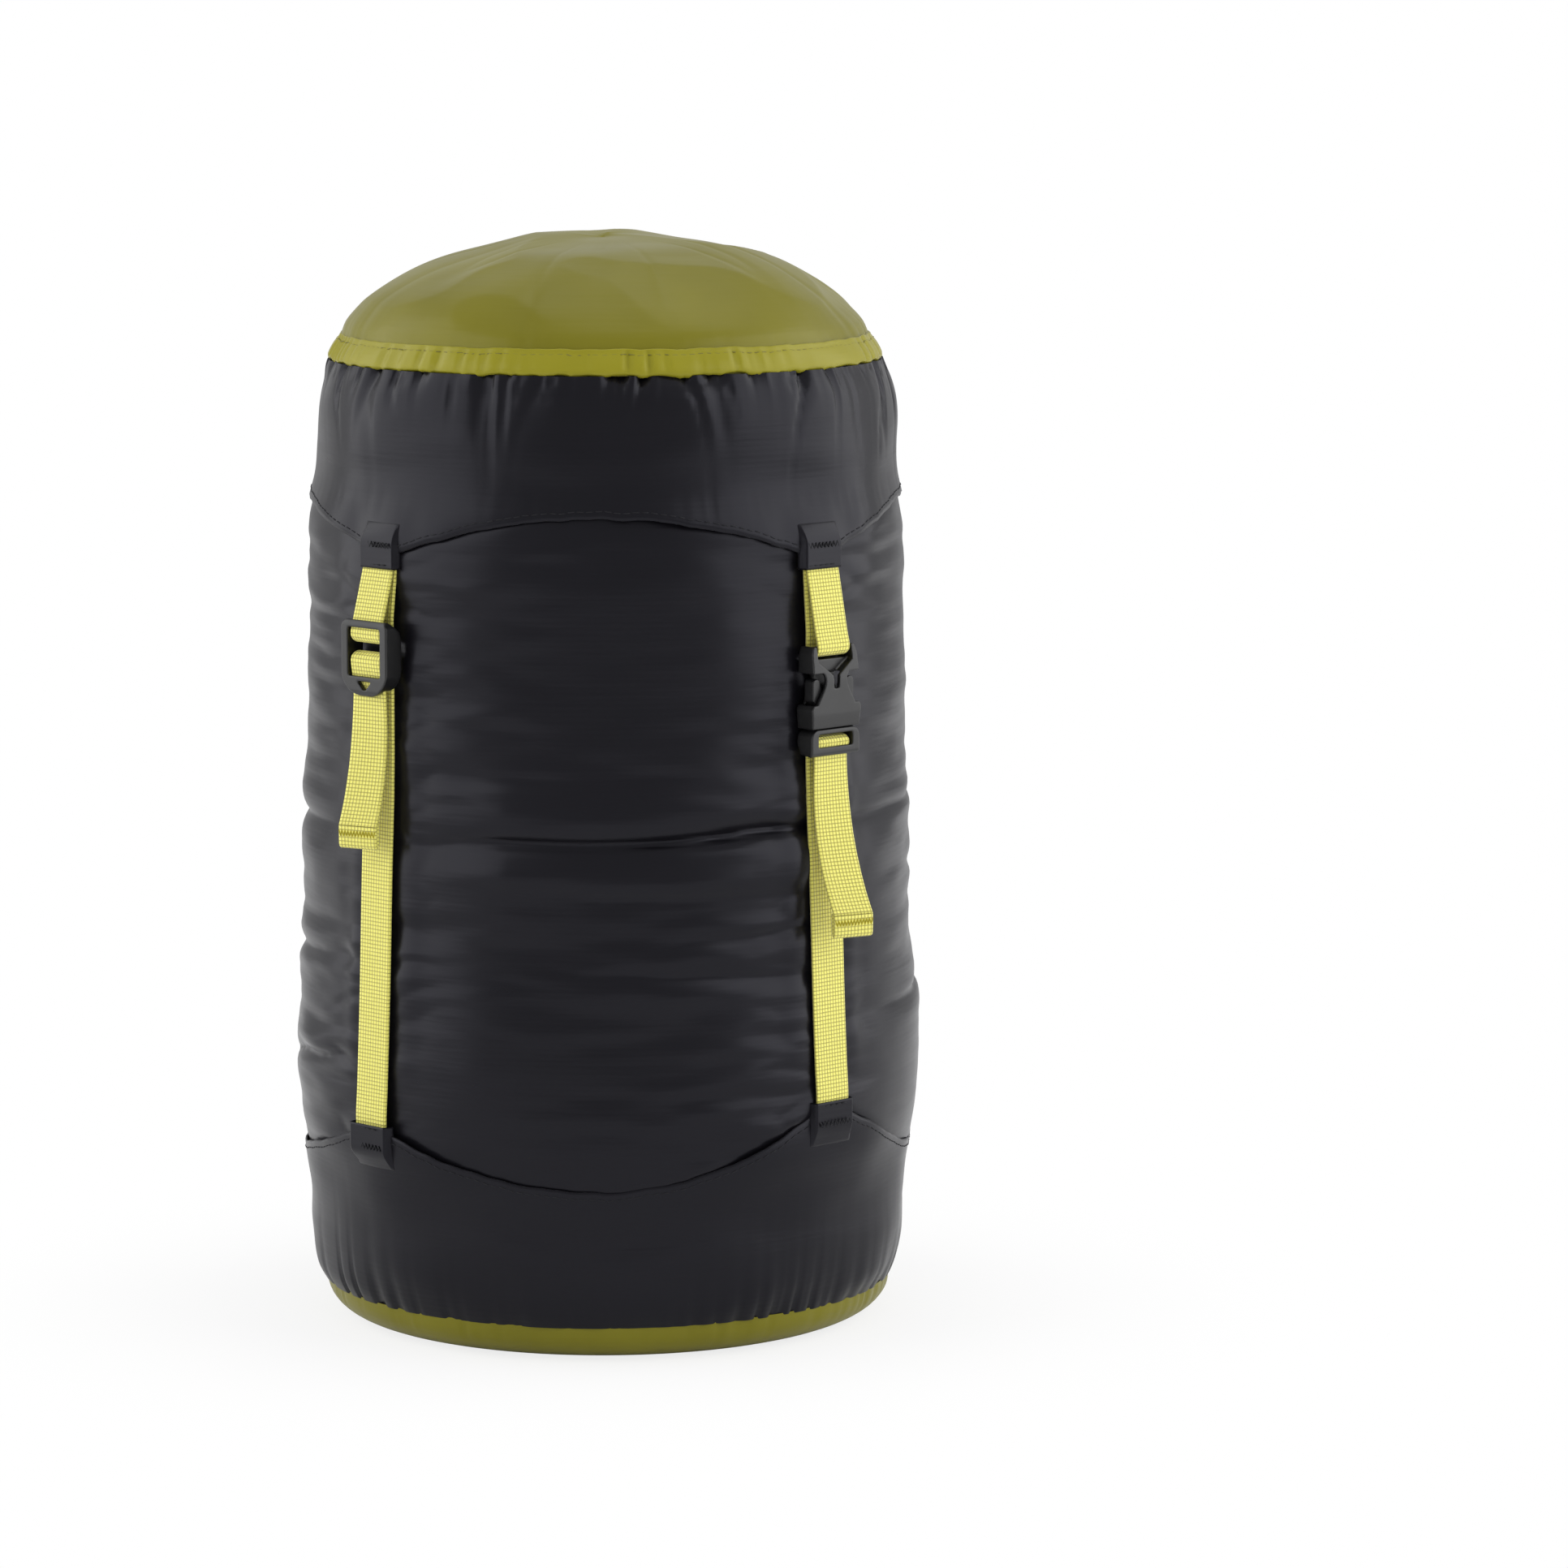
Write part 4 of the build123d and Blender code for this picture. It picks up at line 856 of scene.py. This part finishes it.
class SACK_OT_straps(bpy.types.Operator):
    """Builds the webbing: upper loops, lower straps, tails and their turned ends."""

    bl_idname = "sack.straps"
    bl_label = "Webbing straps"

    def execute(self, context):
        web = context.scene.sack_webbing
        width, thick = web.width / MM, web.thickness / MM
        for name, azimuth in STRAPS.items():
            lock = name in LOCKS
            grip, end = ("lock_" if lock else "plug_") + name, f"end_{name}"
            # the bars that the webbing turns round
            back = reach_of(f"lower_strap_{name}", azimuth)[0] + thick / 2
            bar = back + BAR_TURN
            front = bar + BAR_TURN
            loop_bar = bottom_of(f"upper_loop_{name}") + 2.6
            grip_bar = top_of(f"strap_tail_{name}") - 2.6

            # upper loop: out of the lid's pocket, down behind the bar, round it and back up
            tab_top = top_of(f"lid_tab_{name}") - 1.0
            wall = float(lid_yoke_radius(np.array([azimuth]), np.array([LID_TAB + 1.0]))[0]) + COAT + POCKET["lid"]
            tab_in = min(reach_of(f"lid_tab_{name}", azimuth)[0] - 0.15, wall - 0.8) - thick / 2
            arc = []
            for degrees in range(180, 361, 15):
                t = math.radians(degrees)
                reach = BAR_TURN + PROUD * (degrees > 270) * abs(math.cos(t))
                arc.append((bar + reach * math.cos(t), loop_bar + BAR_TURN * math.sin(t)))
            loop = [(tab_in - 1.3, tab_top), (tab_in - 1.3, LID_TAB), (back + 0.1, loop_bar + 6), *arc,
                    (front + PROUD, loop_bar + 1), (front + 0.6, loop_bar + 5),
                    ((front + tab_in) / 2 + 0.5, (loop_bar + LID_TAB) / 2 + 2),
                    (tab_in + 0.1, LID_TAB + 0.5), (tab_in, tab_top)]
            made = strip(f"upper_webbing_{name}", loop, azimuth, width, thick)
            if lock:
                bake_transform(made)
            else:
                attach(made, "lid")
            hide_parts(f"upper_loop_{name}")

            # lower strap: up the wall from the base's pocket to the gripping bar
            base_tab = BASE_TABS[name]
            foot = reach_of(f"lower_strap_{name}", azimuth)[1] - thick / 2
            path = [(foot - 0.2, base_tab - 8.6), (foot, base_tab + 3), (foot - 0.6, base_tab + 12),
                    (back + 0.25, 190), (back, 205), (back, grip_bar - 0.4)]
            made = strip(f"lower_webbing_{name}", path, azimuth, width, thick, wave=0.25)
            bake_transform(made)
            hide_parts(f"lower_strap_{name}")

            # tail: over the gripping bar and down in front, turning away to one side
            end_low, end_top = bottom_of(f"strap_end_{name}"), top_of(f"strap_end_{name}")
            tip = sum(reach_of(f"strap_end_{name}", azimuth)) / 2
            lip = bottom_of(f"ladder_lock_{name}" if lock else f"plug_{name}")
            over = []
            for degrees in range(180, -1, -15):
                t = math.radians(degrees)
                reach = BAR_TURN + PROUD * (degrees < 90) * abs(math.cos(t))
                over.append((bar + reach * math.cos(t), grip_bar + BAR_TURN * math.sin(t)))
            over.append((front + PROUD - 0.3, grip_bar - 1.2))
            drop = lip - end_top
            bend = [(front + (tip + PLY - front) * s**2.3, lip - 1.5 - (drop - 1.5) * s) for s in np.linspace(0, 1, 9)]
            turn = tail_turn(azimuth)
            made = strip(f"tail_webbing_{name}", [*over, (front, lip + 2), *bend[:-1], (tip + PLY, end_top + 0.1)],
                         azimuth, width, thick, yaw=[turn * share for share in (0, 0.125, 0.5625, 0.875, 1)])
            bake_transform(made)
            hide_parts(f"strap_tail_{name}")

            # its end, folded back behind itself and sewn down
            fold = [(tip + PLY, end_top + 0.1), (tip + PLY, end_low + 0.9), (tip, end_low + 0.1),
                    (tip - PLY, end_low + 0.9), (tip - 1.0, end_top + 0.8)]
            made = strip(f"end_webbing_{name}", fold, azimuth, width, thick, yaw=(turn, turn), pivot=tip + PLY)
            rides(made, end, [f"strap_end_{name}"])
        return {"FINISHED"}


class SACK_OT_tabs(bpy.types.Operator):
    """Builds the fabric pockets that hold the strap ends."""

    bl_idname = "sack.tabs"
    bl_label = "Strap anchors"

    def execute(self, context):
        # across the pocket, closest together where its edges turn down to the wall
        u = np.concatenate([np.linspace(-9.2, -7.4, 9), np.linspace(-7, 7, 15), np.linspace(7.4, 9.2, 9)])
        v = np.linspace(0, 1, 22)[:, None]
        border = np.maximum(smooth(np.abs(u), 8.9, 9.2)[None, :], smooth(v, 0.93, 1.0))
        raised = (1 - smooth(np.abs(u), 7.75, 9.0))[None, :] * (1 - smooth(v, 0.50, 0.98))
        for name, azimuth in STRAPS.items():
            for kind, surface in YOKE_SURFACES.items():
                node = f"{kind}_tab_{name}"
                low, high = bottom_of(node), top_of(node)
                mouth, rest = (low, high + POCKET_FOOT) if kind == "lid" else (high, low - POCKET_FOOT)
                flat = float(surface(np.array([azimuth]), np.array([mouth]))[0]) + COAT + POCKET[kind]
                height = mouth + (rest - mouth) * v
                turned = azimuth + np.degrees(u / WALL_RADIUS)[None, :]
                wall = surface(turned, height) + COAT - 1.2 * border
                radius = wall + raised * np.maximum(flat / np.cos(np.radians(turned - azimuth)) - wall, 0.8)
                # the mouth's edge is turned in
                lip = wall_points(turned, radius[:1] - 0.8, height[:1] + (0.8 if kind == "lid" else -0.8))
                made = grid_object(f"{kind}_pocket_{name}", np.concatenate([lip, wall_points(turned, radius, height)]),
                                   False, "black_nylon_taffeta")
                rides(made, kind, [node])
        return {"FINISHED"}


class SACK_OT_stitching(bpy.types.Operator):
    """Sews the topstitching of the hems and the band, and the boxes that hold the straps."""

    bl_idname = "sack.stitching"
    bl_label = "Stitching"

    def execute(self, context):
        # topstitching runs 2.4 mm inside each hem
        line = stitch_line("lid_hem_stitches", lid_yoke_radius, lambda a: lid_hem(a) + 2.4, "black_thread")
        rides(line, "lid", [])
        line = stitch_line("base_hem_stitches", base_yoke_radius, lambda a: base_hem(a) - 2.4, "black_thread")
        rides(line, "base", [])
        line = stitch_line("band_stitches", lambda a, h: radius_on(LID_BAND, h) - 0.9 - 1.3 * gathers(a, 72, 95),
                           lambda a: SEAM_TOP + 6.9 + 0.4 * band_waver(a), "olive_thread", width=0.34)
        rides(line, "lid", [])
        up = np.array([0, 0, 1.0])
        for name, azimuth in STRAPS.items():
            a = math.radians(azimuth)
            out, side = np.array([math.sin(a), -math.cos(a), 0.0]), np.array([math.cos(a), math.sin(a), 0.0])
            for kind, surface in YOKE_SURFACES.items():
                node, tack = f"{kind}_tab_{name}", f"{kind}_bar_tack_{name}"
                low, high = bottom_of(node), top_of(node)
                mouth, edge_row = (low, low + 1.3) if kind == "lid" else (high, high - 1.3)

                def on_pocket(u, height):
                    """A point on the pocket's face, u to the side of its middle."""
                    rest = 1 - float(smooth(abs(height - mouth) / 16.1, 0.50, 0.98))
                    turn = u / WALL_RADIUS
                    wall = float(surface(np.array([azimuth + math.degrees(turn)]), np.array([height]))[0])
                    return out * ((wall + COAT + POCKET[kind] * rest) * math.cos(turn) + 0.1) + side * u + up * height

                # bar tack: a close zigzag; then a plain row along the mouth
                middle = (bottom_of(tack) + top_of(tack)) / 2
                zigzag, row = np.arange(-7.0, 7.01, 0.85), np.arange(-6.2, 6.3, 2.5)
                centres = [on_pocket(u, middle) for u in zigzag] + [on_pocket(u, edge_row) for u in row]
                ways = [up * 2.0 + side * (0.85 if i % 2 else -0.85) for i in range(len(zigzag))] + [side] * len(row)
                made = stitches(f"{kind}_box_stitches_{name}", np.array(centres) * MM, np.array(ways),
                                [out] * len(centres), 2.2 * MM, 0.42 * MM, "black_thread")
                rides(made, kind, [tack])
            # zigzag across the tail's folded end
            end = f"strap_end_{name}"
            turn = a + math.radians(tail_turn(azimuth))
            across = np.array([math.cos(turn), math.sin(turn), 0.0])
            facing = np.array([math.sin(turn), -math.cos(turn), 0.0])
            tip = out * (sum(reach_of(end, azimuth)) / 2 + PLY) + facing * PLY + up * (bottom_of(end) + 5.6)
            zigzag = np.arange(-6.9, 6.91, 0.6)
            centres = [tip + across * u for u in zigzag]
            ways = [up * 2.2 + across * (0.7 if i % 2 else -0.7) for i in range(len(zigzag))]
            made = stitches(f"end_stitches_{name}", np.array(centres) * MM, np.array(ways),
                            [facing] * len(centres), 2.3 * MM, 0.36 * MM, "green_thread")
            rides(made, f"end_{name}", [])
        return {"FINISHED"}


class SACK_OT_buckles(bpy.types.Operator):
    """Gives the ladder locks and side-release buckles rounded edges and their moulded plastic."""

    bl_idname = "sack.buckles"
    bl_label = "Buckles"

    def execute(self, context):
        radius = context.scene.sack_buckles.edge_radius
        for name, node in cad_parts.items():
            if not name.startswith(("ladder_lock", "socket", "plug", "arm")):
                continue
            dress(node, "moulded_acetal")
            # one even skin over the welded solid, then smoothed so that its edges catch the light
            weld = node.modifiers.new("weld", "WELD")
            weld.merge_threshold = 0.00001
            moulded = node.modifiers.new("even mesh", "REMESH")
            moulded.mode, moulded.voxel_size, moulded.use_smooth_shade = "VOXEL", radius * 0.7, True
            soft = node.modifiers.new("rounded edges", "SMOOTH")
            soft.factor, soft.iterations = 0.5, 8
        dress(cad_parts["neck_closure"], "black_nylon_taffeta")
        return {"FINISHED"}


class SACK_OT_stage(bpy.types.Operator):
    """Sets out the floor, the soft lamps and the camera."""

    bl_idname = "sack.stage"
    bl_label = "Stage"

    def execute(self, context):
        scene, stage = context.scene, context.scene.sack_stage
        bpy.ops.mesh.primitive_plane_add(size=12, location=(0, 0, -0.0002))
        floor = context.object
        floor.name = "floor"
        material, tree = new_material("painted_floor")
        seen = add(tree, "ShaderNodeLightPath").outputs["Is Camera Ray"]
        matt = add(tree, "ShaderNodeBsdfDiffuse", {"Color": linear("f6f6f6")})
        glow = add(tree, "ShaderNodeEmission", {"Color": linear("ffffff"), "Strength": 1.0})
        # white to the eye away from the sack, and shaded close to its foot
        place = add(tree, "ShaderNodeTexCoord").outputs["Object"]
        away = add(tree, "ShaderNodeVectorMath", {"operation": "LENGTH"}, {0: place}).outputs["Value"]
        fade = add(tree, "ShaderNodeMapRange", {"interpolation_type": "SMOOTHSTEP", "From Min": 0.10, "From Max": 0.26,
                                                "To Min": 0.80, "To Max": 1.0}, {"Value": away})
        share = add(tree, "ShaderNodeMath", {"operation": "MULTIPLY"}, {0: seen, 1: fade.outputs[0]})
        both = add(tree, "ShaderNodeMixShader", {}, {0: share.outputs[0], 1: matt.outputs[0], 2: glow.outputs[0]})
        add(tree, "ShaderNodeOutputMaterial", {}, {"Surface": both.outputs[0]})
        floor.data.materials.append(material)

        world = bpy.data.worlds.new("studio")
        scene.world = world
        world.use_nodes = True
        tree = world.node_tree
        tree.nodes.clear()
        seen = add(tree, "ShaderNodeLightPath").outputs["Is Camera Ray"]
        dim = add(tree, "ShaderNodeBackground", {"Color": linear("ffffff"), "Strength": 0.60})
        white = add(tree, "ShaderNodeBackground", {"Color": linear("ffffff"), "Strength": 1.0})
        both = add(tree, "ShaderNodeMixShader", {}, {0: seen, 1: dim.outputs[0], 2: white.outputs[0]})
        add(tree, "ShaderNodeOutputWorld", {}, {"Surface": both.outputs[0]})

        middle = Vector((0, 0, 0.19))
        for name, where, size, power in (
            ("left lamp", (-1.5, -0.15, 0.6), 2.2, stage.side_light * 0.85),
            ("right lamp", (1.5, -0.15, 0.6), 2.2, stage.side_light * 0.95),
            ("top lamp", (0.2, 0.3, 2.0), 1.2, stage.side_light * 0.15),
        ):
            lamp = bpy.data.lights.new(name, "AREA")
            lamp.shape, lamp.size, lamp.energy = "SQUARE", size, power
            made = bpy.data.objects.new(name, lamp)
            made.location = where
            made.rotation_mode = "QUATERNION"
            made.rotation_quaternion = (middle - Vector(where)).to_track_quat("-Z", "Y")
            scene.collection.objects.link(made)

        data = bpy.data.cameras.new("camera")
        data.sensor_width = 36.0
        data.lens = 36.0 * stage.camera_distance / stage.view_width
        data.clip_start, data.clip_end = 0.05, 50
        camera = bpy.data.objects.new("camera", data)
        target = Vector((0.062, 0.0, 0.1846))
        way = Vector((0, -math.cos(stage.camera_elevation), math.sin(stage.camera_elevation)))
        camera.location = target + way * stage.camera_distance
        camera.rotation_mode = "QUATERNION"
        camera.rotation_quaternion = (-way).to_track_quat("-Z", "Y")
        scene.collection.objects.link(camera)
        scene.camera = camera
        scene.view_settings.view_transform = "Standard"
        return {"FINISHED"}


class SACK_PT_panel(bpy.types.Panel):
    """Lists the sack's builders and settings."""

    bl_idname = "SACK_PT_panel"
    bl_label = "Compression sack"
    bl_space_type = "VIEW_3D"
    bl_region_type = "UI"
    bl_category = "Sack"

    def draw(self, context):
        for operator in OPERATORS:
            self.layout.operator(operator.bl_idname)
        for group in ("sack_fabric", "sack_webbing", "sack_buckles", "sack_stage"):
            box = self.layout.box()
            settings = getattr(context.scene, group)
            for prop in settings.bl_rna.properties:
                if not prop.is_readonly and prop.identifier != "name":
                    box.prop(settings, prop.identifier)


GROUPS = {"sack_fabric": FabricSettings, "sack_webbing": WebbingSettings, "sack_buckles": BuckleSettings,
          "sack_stage": StageSettings}
OPERATORS = (SACK_OT_body, SACK_OT_yokes, SACK_OT_panels, SACK_OT_straps, SACK_OT_tabs, SACK_OT_stitching,
             SACK_OT_buckles, SACK_OT_stage)


def register():
    for cls in (*GROUPS.values(), *OPERATORS, SACK_PT_panel):
        bpy.utils.register_class(cls)
    for name, cls in GROUPS.items():
        setattr(bpy.types.Scene, name, bpy.props.PointerProperty(type=cls))


def unregister():
    for name in GROUPS:
        delattr(bpy.types.Scene, name)
    for cls in (SACK_PT_panel, *reversed(OPERATORS), *reversed(list(GROUPS.values()))):
        bpy.utils.unregister_class(cls)


def main():
    register()
    for operator in OPERATORS:
        group, name = operator.bl_idname.split(".")
        getattr(getattr(bpy.ops, group), name)()


if __name__ == "__main__":
    main()
